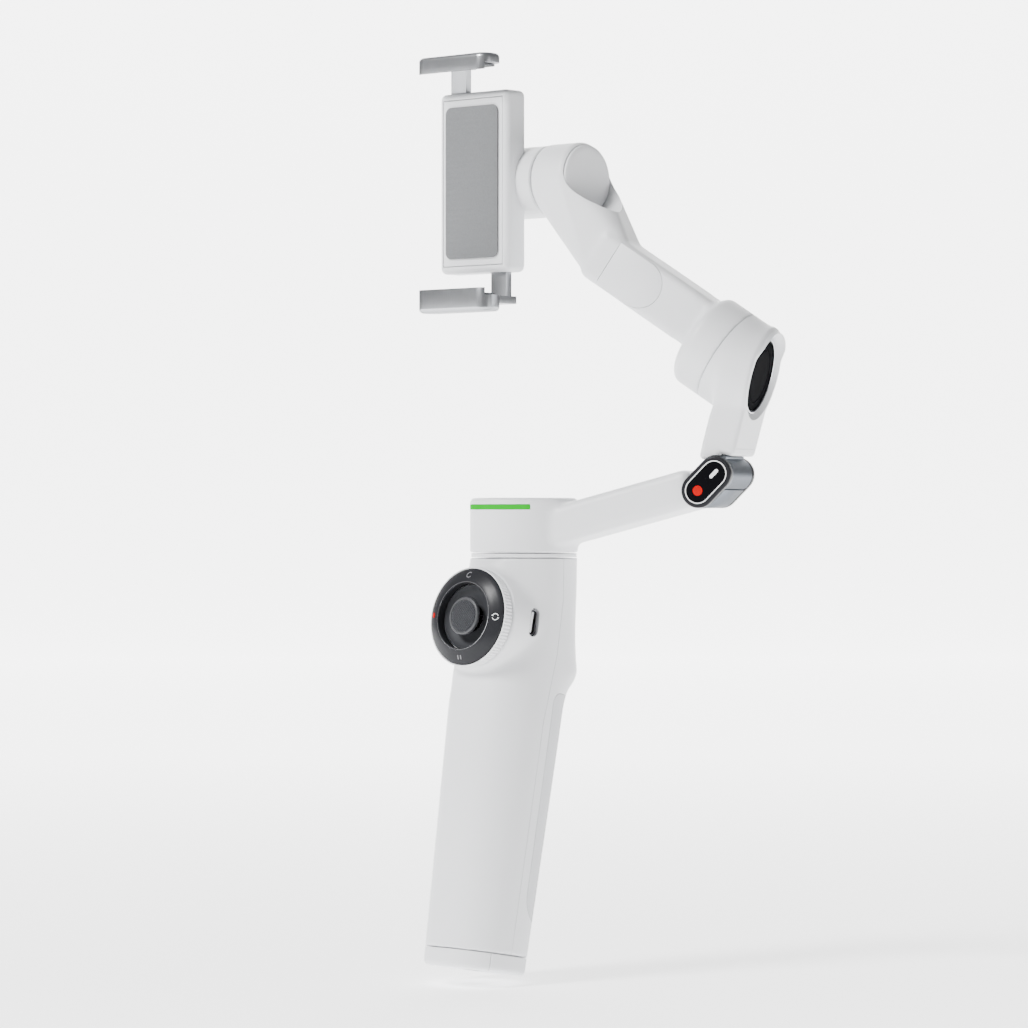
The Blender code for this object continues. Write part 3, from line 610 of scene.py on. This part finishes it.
GRIP_RADIUS = 5.45
DIAMOND = 1.0
bpy.ops.object.select_all(action="DESELECT")
bpy.ops.mesh.primitive_grid_add(x_subdivisions=104, y_subdivisions=104, size=2 * GRIP_RADIUS)
diamonds = bpy.context.object
diamonds.name = "stick_grip"
for vertex in diamonds.data.vertices:
    x, y = vertex.co.x, vertex.co.y
    radius = math.hypot(x, y)
    square = max(abs(x), abs(y))
    if radius > 0:
        x, y = x * square / radius, y * square / radius
    across = abs(((x + y) / DIAMOND) % 1.0 - 0.5) + abs(((x - y) / DIAMOND) % 1.0 - 0.5)
    peak = max(0.0, min(1.0, 1.5 - across * 1.6))
    crown = 0.18 * (1 - (square / GRIP_RADIUS) ** 2)
    vertex.co = (x, y, 26.06 + crown * 0.8 + 0.34 * peak * (square < GRIP_RADIUS - 0.3))
settle(diamonds, DIAL)
shaped(diamonds, "SOLIDIFY", thickness=0.3 * MM, offset=-1)
smooth(diamonds, 50)
finish(diamonds, dish_black, "stick", "black_plastic")

# ------------------------------------------------------------------ charging port
# A steel USB-C shell sits in a pill-shaped recess in the side; its tongue is bright metal.
tongue = block("port_tongue", PORT, (-3.6, -0.6, 12.2), (3.6, 0.6, 16.4), 0.25, 3)
finish(tongue, bright, "handle", "steel")

# ------------------------------------------------------------------ pan head and pan arm
# The head is one moulded white cup with the pan arm growing out of its side, hollow around the pan
# motor, with a flat cap on top and a slot for the status light.
HEAD_RADIUS = 18.3
ARM_SLOPE = math.radians(14.9)
ARM_HALF = 6.4
ARM_WIDTH = 25.0
LIGHT = (15.8, 17.4)
LIGHT_HALF_ANGLE = 48
HINGE_RADIUS = 5.75
HINGE_FIXED = (66.2, 21.9)
HINGE_PIVOT = (71.8, 27.5)
FRONT = -Vector(joints["fold"]["axis"])
OUT = FRONT.cross(UPRIGHT) * -1
SIDE = make_place(HEAD_POINT, OUT, FRONT)
PIVOT = SIDE @ Matrix.Translation((HINGE_PIVOT[0] * MM, HINGE_PIVOT[1] * MM, 0))


def hinge_outline(radius, steps=24):
    return arc(HINGE_FIXED, radius, 135, 315, steps) + arc(HINGE_PIVOT, radius, -45, 135, steps)


def melted(piece, reach, rounds):
    """Smooth only where reach, a function of a point, gives a weight above zero."""
    group = piece.vertex_groups.new(name="join")
    for vertex in piece.data.vertices:
        weight = reach(vertex.co)
        if weight > 0:
            group.add([vertex.index], min(1.0, weight), "REPLACE")
    shaped(piece, "SMOOTH", factor=0.5, iterations=rounds, vertex_group="join")
    piece.vertex_groups.clear()


head = lathe("head_shell", HEAD, [
    (15.5, 19.7), (16.9, 19.66), (17.6, 19.4), (18.08, 18.9), (18.27, 18.3), (18.3, 17.8), (18.3, 1.6),
    (18.15, 1.3), (17.9, 1.2)])
slope = Matrix.Rotation(ARM_SLOPE, 4, "Z")
ARM = SIDE @ Matrix.Translation((10 * MM, 9 * MM, 0)) @ slope
beam = block("beam", ARM, (0, -ARM_HALF, -ARM_WIDTH / 2), (55.2, ARM_HALF, ARM_WIDTH / 2), 3.0, 6)
combine(head, "UNION", beam)
softened(head, 0.5, 3)
to_head = HEAD.inverted()
to_arm = ARM.inverted()


def head_join(point):
    local = (to_head @ point) / MM
    along = (to_arm @ point) / MM
    radius = math.hypot(local.x, local.y)
    if radius < 16.5 or local.z > 18.4 or local.z < 2.0 or along.x < 2:
        return 0
    near = 1 - abs(radius - HEAD_RADIUS) / 5.0
    return near * 2 if abs(along.y) < ARM_HALF + 4.5 and abs(along.z) < ARM_WIDTH / 2 + 4.5 else 0


melted(head, head_join, 70)
combine(head, "DIFFERENCE",
        lathe("cut", HEAD, [(16.4, -2), (16.4, 17.2)]), lathe("cut", HEAD, [(14.8, 10), (14.8, 22)]),
        lathe("cut", HEAD, [(16.1, 18.4), (16.1, 22)]),
        prism("cut", SIDE, hinge_outline(HINGE_RADIUS + 0.25), -20, 20),
        lathe("cut", PIVOT, [(HINGE_RADIUS + 0.9, -20), (HINGE_RADIUS + 0.9, 20)]))
groove = arc((0, 0), 20, -90 - LIGHT_HALF_ANGLE - 0.6, -90 + LIGHT_HALF_ANGLE + 0.6, 40)
groove += arc((0, 0), 17.3, -90 + LIGHT_HALF_ANGLE + 0.6, -90 - LIGHT_HALF_ANGLE - 0.6, 40)
combine(head, "DIFFERENCE", prism("cut", HEAD, groove, LIGHT[0] - 0.12, LIGHT[1] + 0.12))
smooth(head, 35)
finish(head, white, "head", "white_plastic", "head_housing")
lid = lathe("head_lid", HEAD, [
    (15.6, 18.7), (15.95, 18.8), (15.95, 19.5), (15.8, 19.66), (15.4, 19.7), (9, 19.7)])
finish(smooth(lid), white, "head", "white_plastic", "head_cap")

# ------------------------------------------------------------------ status light
# A thin clear strip with green light behind it, let into the head's front.
strip = arc((0, 0), 18.34, -90 - LIGHT_HALF_ANGLE, -90 + LIGHT_HALF_ANGLE, 60)
strip += arc((0, 0), 17.6, -90 + LIGHT_HALF_ANGLE, -90 - LIGHT_HALF_ANGLE, 60)
glow_strip = prism("light_strip_lens", HEAD, strip, *LIGHT)
edged(glow_strip, 0.2, 2)
glow, glow_shader, glow_point = new_material("green_glow", (0.0, 0.25, 0.01), 0.6)
glow_shader.inputs["Emission Strength"].default_value = 0.7
glow_shader.inputs["IOR"].default_value = 1.03
flicker = noise(glow_point, 300.0, 2.0)
feed(glow_shader, Emission_Color=mixed(glow_point, flicker * 0.6, (0.0, 0.85, 0.02), (0.01, 1.0, 0.04)),
     Base_Color=mixed(glow_point, flicker, (0.0, 0.1, 0.004), (0.0, 0.14, 0.006)))
finish(glow_strip, glow, "head", "green_light", "light_strip")

# ------------------------------------------------------------------ fold hinge
# The fold hinge is a round-ended block of brushed silver metal, with black end caps screwed on. The
# front cap carries a gloss panel with a red dot and a white bar as its lock mark.
HINGE_FRONT = 11.7
HINGE_REAR = 10.3
silver_blue = brushed("blue_silver", (0.27, 0.29, 0.32), (0.19, 0.205, 0.23), 0.36, (0.2, 0.2, 3), edge=0.35)
hinge = prism("hinge_block_metal", SIDE, hinge_outline(HINGE_RADIUS), -HINGE_REAR, HINGE_FRONT)
combine(hinge, "DIFFERENCE", lathe("cut", PIVOT, [(HINGE_RADIUS + 0.3, -13), (HINGE_RADIUS + 0.3, 13)]))
finish(edged(hinge, 0.15, 2), silver_blue, "head", "silver_aluminium", "hinge_block")
for name, node, near, far in (("hinge_cap_front", "hinge_front_cap", 11.95, 14.9),
                              ("hinge_cap_rear", "hinge_rear_cap", -13.55, -10.6)):
    cap_piece = prism(name, SIDE, hinge_outline(HINGE_RADIUS), near, far)
    finish(edged(cap_piece, 0.55, 4), black, "head", "black_plastic", node)
band = prism("lock_line", SIDE, hinge_outline(4.35), 14.7, 14.96)
combine(band, "DIFFERENCE", prism("cut", SIDE, hinge_outline(4.02), 14, 16))
finish(smooth(band), mark_white, "head", "black_plastic")
panel = prism("lock_panel", SIDE, hinge_outline(3.95), 14.7, 14.94)
finish(edged(panel, 0.05, 2), gloss_black, "head", "black_plastic")
FIXED = SIDE @ Matrix.Translation((HINGE_FIXED[0] * MM, HINGE_FIXED[1] * MM, 0))
lock_dot = lathe("lock_dot", FIXED, [(1.7, 14.8), (1.7, 14.95), (1.55, 15.0)], 48)
finish(smooth(lock_dot), mark_red, "head", "black_plastic")
bar_place = PIVOT @ Matrix.Rotation(math.radians(45), 4, "Z")
lock_bar = prism("lock_bar", bar_place, stadium(3.8, 0.6), 14.8, 15.0)
finish(smooth(lock_bar), mark_white, "head", "black_plastic")

# ------------------------------------------------------------------ roll arm
# The roll arm stands on the hinge knuckle and widens into the ring that holds the roll motor's stator.
# It is one white moulding with a hollowed back, closed by a gloss black disc in a bright ring.
ARM_LEAN = math.radians(15)
RING_HEIGHT = 34.3
RING_RADIUS = 17.0
STEM_HALF = 12.7
MOTOR_RADIUS = 16.3
ROLL_AXIS = Vector(joints["roll"]["axis"])
MOTOR = make_place(Vector(joints["roll"]["pos_m"]), (-FRONT).cross(ROLL_AXIS), ROLL_AXIS)
KEY = make_place(Vector(joints["fold"]["pos_m"]), -FRONT,
                 OUT * math.cos(ARM_LEAN) - UPRIGHT * math.sin(ARM_LEAN))
KEY_RING = KEY @ Matrix.Translation((0, RING_HEIGHT * MM, 0))

knuckle = lathe("hinge_knuckle_metal", PIVOT, [
    (5.55, -HINGE_REAR), (HINGE_RADIUS, -10.1), (HINGE_RADIUS, 11.5), (5.55, HINGE_FRONT)])
combine(knuckle, "UNION", block("neck", KEY, (-11.0, 2.5, -3.5), (9.6, 6.4, 1.6), 0.3, 2))
combine(knuckle, "DIFFERENCE", lathe("cut", PIVOT, [(1.85, -15), (1.85, 15)], 32))
finish(smooth(knuckle, 35), silver_blue, "roll_arm", "silver_aluminium", "hinge_knuckle")

flare = math.degrees(math.asin(STEM_HALF / RING_RADIUS))
key_outline = [(-STEM_HALF + 1.5, 6.8), (STEM_HALF - 1.5, 6.8), (STEM_HALF - 0.4, 7.2), (STEM_HALF, 8.3),
               (STEM_HALF, 15)]
key_outline += arc((0, RING_HEIGHT), RING_RADIUS, flare - 90, 270 - flare, 70)
key_outline += [(-STEM_HALF, 15), (-STEM_HALF, 8.3), (-STEM_HALF + 0.4, 7.2)]
roll_arm = prism("roll_arm_shell", KEY, key_outline, -7.4, 4.2)
edged(roll_arm, 1.5, 5)
combine(roll_arm, "UNION", lathe("stator", MOTOR, [(MOTOR_RADIUS, -12.6), (MOTOR_RADIUS, 2)]),
        block("heel", KEY, (-STEM_HALF, 3.4, -7.3), (STEM_HALF, 12.0, -0.5), 1.2, 3))
softened(roll_arm, 0.5, 6)
to_motor = MOTOR.inverted()
to_key = KEY.inverted()


def roll_join(point):
    local = (to_motor @ point) / MM
    key = (to_key @ point) / MM
    if key.z > 3.0 or local.z > -1.0:
        return 0
    radius = math.hypot(local.x, local.y)
    return 2 - abs(radius - MOTOR_RADIUS) / 2.5


melted(roll_arm, roll_join, 60)
combine(roll_arm, "DIFFERENCE",
        lathe("cut", MOTOR, [(45, -0.15), (45, 40)], 64), lathe("cut", MOTOR, [(14.3, -6.2), (14.3, 5)]),
        lathe("cut", KEY_RING, [(13.1, 1.2), (13.2, 2.0), (14.9, 4.4), (19.2, 14)]),
        lathe("cut", PIVOT, [(HINGE_RADIUS + 0.45, -20), (HINGE_RADIUS + 0.45, 20)]),
        block("cut", KEY, (-11.3, 0, -3.8), (9.9, 6.75, 3)),
        block("cut", KEY, (-14, 9.55, 3.95), (14, 9.75, 6)))
smooth(roll_arm, 32)
finish(roll_arm, white, "roll_arm", "white_plastic", "roll_arm")
disc = lathe("rear_disc_gloss", KEY_RING, [(11.85, 1.5), (11.9, 2.3), (11.6, 2.55), (9.2, 2.62), (9.0, 2.45),
                                           (8.7, 2.45), (8.5, 2.66), (3.2, 2.7)])
finish(smooth(disc, 40), gloss_black, "roll_arm", "black_plastic", "roll_rear_disc")
bezel = lathe("rear_bezel", KEY_RING, [
    (12.9, 2.8), (12.75, 3.05), (12.4, 3.1), (12.2, 2.9), (12.2, 1.5), (12.9, 1.5)], ring=True)
finish(smooth(bezel, 40), bright, "roll_arm", "silver_aluminium", "roll_rear_ring")

# ------------------------------------------------------------------ tilt arm
# The tilt arm grows out of the roll motor's turning cup as a square bar, bends up behind the phone and
# ends in the round housing of the tilt motor. White moulded plastic with a snapped-in cover.
TILT_HEIGHT = 127.5
TILT = make_place(Vector(joints["tilt"]["pos_m"]), (0, 1, 0), RIGHT)
COVER = make_place(Vector(joints["roll"]["pos_m"]), (-FRONT).cross(ROLL_AXIS), FRONT)
BAR_LOW = (-4.8, -8.4)
BAR_HIGH = (13.1, 10.0)
BAR_END = 58.0

tilt_arm = lathe("tilt_arm_shell", MOTOR, [
    (MOTOR_RADIUS, 0.15), (MOTOR_RADIUS, 8.6), (16.1, 9.8), (15.4, 10.9), (14.4, 11.8), (12.8, 12.3)])
bar = block("bar", MOTOR, (*BAR_LOW, 8), (*BAR_HIGH, BAR_END), 2.6, 5)
elbow = lathe("elbow", TILT, [(12.1, 3.2), (12.5, 3.6), (12.5, 16.2), (11.9, 17.0)])
bend = duplicate(elbow, "bend")
end_block = block("end", MOTOR, (BAR_LOW[0] + 0.9, BAR_LOW[1] + 0.9, 46),
                  (BAR_HIGH[0] - 0.9, BAR_HIGH[1] - 0.9, 57.1), 1.5, 3)
alone(bend)
end_block.select_set(True)
bpy.ops.object.join()
bpy.ops.object.mode_set(mode="EDIT")
bpy.ops.mesh.select_all(action="SELECT")
bpy.ops.mesh.convex_hull()
bpy.ops.object.mode_set(mode="OBJECT")
bpy.data.objects.remove(elbow)
combine(tilt_arm, "UNION", bar, bend)
softened(tilt_arm, 0.55, 5)


def tilt_join(point):
    local = (to_motor @ point) / MM
    if 9.5 < local.z < 18:
        return (local.z - 9.5) / 2
    if 40 < local.z < 70 and (TILT.inverted() @ point).x > -13 * MM:
        return 0.5
    return 0


melted(tilt_arm, tilt_join, 40)
cover_centre = ((BAR_LOW[0] + BAR_HIGH[0]) / 2, 37.0)


def cover_outline(radius):
    x, y = cover_centre
    end = 42.0 + radius
    return arc((x, y), radius, 180, 360, 30) + [(x + radius, end), (x - radius, end)]


combine(tilt_arm, "DIFFERENCE",
        lathe("cut", MOTOR, [(14.3, -3), (14.3, 8.5)]), lathe("cut", TILT, [(10.9, 1), (10.9, 14)]),
        lathe("cut", TILT, [(11.8, 17.0), (11.8, 45)]), prism("cut", COVER, cover_outline(8.15), 7.3, 12))
smooth(tilt_arm, 32)
finish(tilt_arm, white, "tilt_arm", "white_plastic", "roll_rotor_housing", "tilt_arm")
arm_cover = prism("arm_cover_plate", COVER, cover_outline(8.0), 7.6, 8.38)
finish(edged(arm_cover, 0.15, 2), white, "tilt_arm", "white_plastic", "tilt_arm_cover")
end_cap = lathe("tilt_motor_lid", TILT, [
    (11.3, 17.3), (11.5, 17.5), (11.5, 18.0), (11.1, 18.35), (9.5, 18.4)])
finish(smooth(end_cap, 40), white, "tilt_arm", "white_plastic", "tilt_end_cap")

# ------------------------------------------------------------------ phone clamp
# The clamp is a flat white case behind the phone with the tilt motor's round can on its back. Two
# silver jaws slide in it on steel tongues; a soft pad keeps the phone from marking.
CLAMP_X = -19.8
CLAMP = make_place(HEAD_POINT + Vector((CLAMP_X, 0, TILT_HEIGHT)) * MM, RIGHT, UPRIGHT)
PHONE_HALF = 38.35
JAW_HALF = 16.5
JAW_FRONT = -16.0
JAW_BACK = -6.0
JAW_RISE = {1: 4.2, -1: 6.4}

case = block("clamp_case", CLAMP, (-15.8, -4.2, -31), (15.8, 6.0, 31), 2.2, 5)
combine(case, "UNION", lathe("can", TILT, [
    (11.4, -22), (12.0, -21.7), (12.2, -21.1), (12.2, 2.0), (11.8, 2.4)]))
combine(case, "DIFFERENCE",
        block("cut", CLAMP, (-13.8, -8, -28.6), (13.8, 2.6, 28.6)),
        lathe("cut", TILT, [(10.2, -20.2), (10.2, -2)]),
        block("cut", CLAMP, (5.5, -1.5, -34), (13.1, 1.7, -28)),
        block("cut", CLAMP, (-13.1, -1.5, 28), (-5.5, 1.7, 34)))
finish(edged(case, 0.35, 3), white, "clamp", "white_plastic", "clamp_body")
plate = block("clamp_plate", CLAMP, (-13.6, -4.2, -28.4), (13.6, -3.0, 28.4), 0.3, 3)
finish(smooth(plate), white, "clamp", "white_plastic", "clamp_cover")

rubber, rubber_shader, rubber_point = new_material("grey_rubber", (0.16, 0.165, 0.17), 0.75)
speck = noise(rubber_point, 3000.0, 2.0)
ribs = rubber_point.node("ShaderNodeTexWave", {"bands_direction": "Z"},
                         {"Vector": rubber_point, "Scale": 170.0})
feed(rubber_shader, Base_Color=mixed(rubber_point, speck * 0.7, (0.11, 0.115, 0.12), (0.2, 0.205, 0.21)),
     Roughness=speck * 0.15 + 0.65, Normal=bump(rubber_point, ribs * 0.7 + speck * 0.3, 0.00008, 0.6))
PAD = CLAMP @ Matrix(((1, 0, 0, 0), (0, 0, -1, 0), (0, 1, 0, 0), (0, 0, 0, 1)))
pad_edge = [(x + math.copysign(9.5, x), y + math.copysign(23.5, y)) for x, y in arc((0, 0), 2.5, 3, 363, 31)]
pad = prism("clamp_pad_rubber", PAD, pad_edge, 4.5, 4.98)
finish(edged(pad, 0.12, 2), rubber, "clamp", "soft_rubber", "clamp_pad")

silver = brushed("satin_silver", (0.5, 0.51, 0.53), (0.38, 0.39, 0.41), 0.33, (3, 0.25, 0.25), edge=0.6)
steel = brushed("drawn_steel", (0.55, 0.55, 0.57), (0.42, 0.42, 0.44), 0.28, (1, 1, 0.08))
for name, side in (("upper_jaw", 1), ("lower_jaw", -1)):
    inner = PHONE_HALF + 0.9
    top = PHONE_HALF + JAW_RISE[side]
    low, high = sorted((side * (PHONE_HALF - 1.5), side * top))
    jaw = block(name + "_metal", CLAMP, (-JAW_HALF, JAW_FRONT, low), (JAW_HALF, JAW_BACK, high))
    alone(jaw)
    bpy.ops.object.mode_set(mode="EDIT")
    mesh = bmesh.from_edit_mesh(jaw.data)
    upright = [e for e in mesh.edges if abs(e.verts[0].co.z - e.verts[1].co.z) > 2 * MM]
    bmesh.ops.bevel(mesh, geom=upright, offset=4.4 * MM, segments=12, profile=0.5, affect="EDGES")
    outer = CLAMP.translation.z + side * top * MM
    rim = [e for e in mesh.edges if all(abs(v.co.z - outer) < 0.01 * MM for v in e.verts)]
    bmesh.ops.bevel(mesh, geom=rim, offset=1.5 * MM, segments=6, profile=0.5, affect="EDGES")
    bmesh.update_edit_mesh(jaw.data)
    bpy.ops.object.mode_set(mode="OBJECT")
    low, high = sorted((side * (PHONE_HALF - 4), side * inner))
    combine(jaw, "DIFFERENCE", block("cut", CLAMP, (-30, JAW_FRONT + 1.3, low), (30, 10, high)))
    x_low, x_high = sorted((-side * 4.4, -side * 14.2))
    z_low, z_high = sorted((side * inner, side * (inner + 2.6)))
    combine(jaw, "UNION", block("web", CLAMP, (x_low, JAW_BACK - 1, z_low), (x_high, 2.4, z_high)))
    x_low, x_high = sorted((-side * 5.8, -side * 12.8))
    z_low, z_high = sorted((-side * 8.0, side * (inner + 2)))
    combine(jaw, "UNION", block("tongue", CLAMP, (x_low, -1.2, z_low), (x_high, 1.4, z_high)))
    finish(edged(jaw, 0.35, 3), silver, name, "silver_aluminium", name)
    z_low, z_high = sorted((side * PHONE_HALF, side * (inner - 0.1)))
    liner = block(name + "_liner", CLAMP, (-12.5, -14.3, z_low), (12.5, -6.6, z_high), 0.2, 2)
    finish(smooth(liner), rubber, name, "soft_rubber", name + "_pad")

# ------------------------------------------------------------------ rod, motors and boards
# The parts inside keep their frame shapes: drawn steel tubes, copper windings on steel cores, green
# circuit boards and black carriers.


def kept(node, material, width=0.15):
    piece = frame["nodes"][node]
    piece.data.materials.clear()
    piece.data.materials.append(material)
    piece.data.polygons.foreach_set("use_smooth", [True] * len(piece.data.polygons))
    weld = piece.modifiers.new("Weld", "WELD")
    weld.merge_threshold = 0.00001
    if width:
        bevel = piece.modifiers.new("Bevel", "BEVEL")
        bevel.width = width * MM
        bevel.segments = 2
        bevel.limit_method = "ANGLE"
        bevel.angle_limit = math.radians(35)
    split = piece.modifiers.new("Edges", "EDGE_SPLIT")
    split.split_angle = math.radians(35)


copper, copper_shader, copper_point = new_material("copper_wire", (0.7, 0.33, 0.16), 0.35, 1.0)
winding = copper_point.node("ShaderNodeTexWave", {"wave_type": "RINGS", "rings_direction": "SPHERICAL"},
                            {"Vector": copper_point, "Scale": 700.0, "Distortion": 1.5})
feed(copper_shader, Base_Color=mixed(copper_point, winding * 0.8, (0.45, 0.18, 0.08), (0.78, 0.4, 0.2)),
     Normal=bump(copper_point, winding, 0.0001, 0.6))
board, board_shader, board_point = new_material("solder_mask", (0.01, 0.12, 0.05), 0.35)
tracks = board_point.node("ShaderNodeTexBrick", {"offset": 0.5}, {"Vector": board_point, "Scale": 260.0,
                          "Color1": (0.01, 0.12, 0.05, 1), "Color2": (0.012, 0.15, 0.06, 1),
                          "Mortar": (0.02, 0.22, 0.09, 1)})
feed(board_shader, Base_Color=tracks)

PLAIN = {
    white: ("handle_top_bush", "pan_collar", "trigger_button"),
    black: ("battery_pack", "joystick_base", "ring_carrier", "tripod_hub"),
    steel: ("rod_sleeve", "rod_stage_1", "rod_stage_2", "rod_stage_3", "rod_stage_4", "pan_bearing",
            "pan_shaft", "pan_rotor", "hinge_pin", "roll_rotor", "tilt_rotor", "jaw_pinion",
            "joystick_yoke", "joystick_stem", "usb_c_socket"),
    copper: ("pan_stator", "roll_stator", "tilt_stator"),
    board: ("main_circuit_board", "control_board"),
}
for material, nodes in PLAIN.items():
    for node in nodes:
        kept(node, material, 0.0 if node.startswith("rod") else 0.12)

# ------------------------------------------------------------------ stage, light and camera
# A white paper sweep that glows by itself, dimmer near the object, with a soft light from the upper left
# and a weak fill, through a long lens. Its wall stands further back than a camera behind the object.
AZIMUTH = math.radians(42.0)
FLOOR_DROP = -0.0045
FLOOR_FRONT = -500
CURVE_START = 3000
CURVE_RADIUS = 900
WALL_TOP = 4000
PAPER_THICK = 50
SWEEP_HALF = 2200
GLOW = 4.2
view_right = Vector((math.cos(AZIMUTH), math.sin(AZIMUTH), 0))
to_camera = Vector((math.sin(AZIMUTH), -math.cos(AZIMUTH), 0))
SWEEP = make_place((0, 0, FLOOR_DROP), -to_camera, view_right)
curve_centre = (CURVE_START, CURVE_RADIUS)
wall = CURVE_START + CURVE_RADIUS
curve = [(FLOOR_FRONT, 0), (CURVE_START, 0)] + arc(curve_centre, CURVE_RADIUS, -90, 0, 40)
curve += [(wall, WALL_TOP), (wall + PAPER_THICK, WALL_TOP)]
curve += arc(curve_centre, CURVE_RADIUS + PAPER_THICK, 0, -90, 40) + [(FLOOR_FRONT, -PAPER_THICK)]
sweep = prism("paper_sweep", SWEEP, curve, -SWEEP_HALF, SWEEP_HALF)
smooth(sweep, 30)
paper, paper_shader, paper_point = new_material("white_paper", (0.9, 0.9, 0.9), 0.95)
paper_shader.inputs["Emission Strength"].default_value = GLOW
reach = paper_point.node("ShaderNodeVectorMath", {"operation": "LENGTH"}, {0: paper_point}, 1)
feed(paper_shader, Emission_Color=mixed(paper_point, reach * 0.8, (0.42, 0.42, 0.42), (1, 1, 1)))
sweep.data.materials.append(paper)
aim = Vector((HEAD_POINT.x, HEAD_POINT.y, HEAD_POINT.z + 0.0142)) - view_right * 0.0034


def soft_light(name, place, size, power):
    """A round area light that faces the object."""
    light = bpy.data.lights.new(name, "AREA")
    light.shape = "DISK"
    light.size = size
    light.energy = power
    lamp = bpy.data.objects.new(name, light)
    lamp.location = place
    lamp.rotation_euler = (aim - place).to_track_quat("-Z", "Y").to_euler()
    bpy.context.scene.collection.objects.link(lamp)


soft_light("key", aim + to_camera * 0.8 - view_right * 1.1 + UPRIGHT * 1.1, 0.5, 48)
soft_light("fill", aim + to_camera * 1.3 + view_right * 1.3 - UPRIGHT * 0.05, 0.8, 3)

world = bpy.data.worlds.new("studio")
world.use_nodes = True
world.node_tree.nodes["Background"].inputs["Color"].default_value = (1, 1, 1, 1)
world.node_tree.nodes["Background"].inputs["Strength"].default_value = 0.3
bpy.context.scene.world = world

CAMERA_DISTANCE = 1.345
camera_data = bpy.data.cameras.new("camera")
camera_data.lens = 138.95
camera_data.sensor_width = 36
camera = bpy.data.objects.new("camera", camera_data)
camera.location = aim + to_camera * CAMERA_DISTANCE
camera.rotation_euler = (aim - camera.location).to_track_quat("-Z", "Y").to_euler()
bpy.context.scene.collection.objects.link(camera)
bpy.context.scene.camera = camera
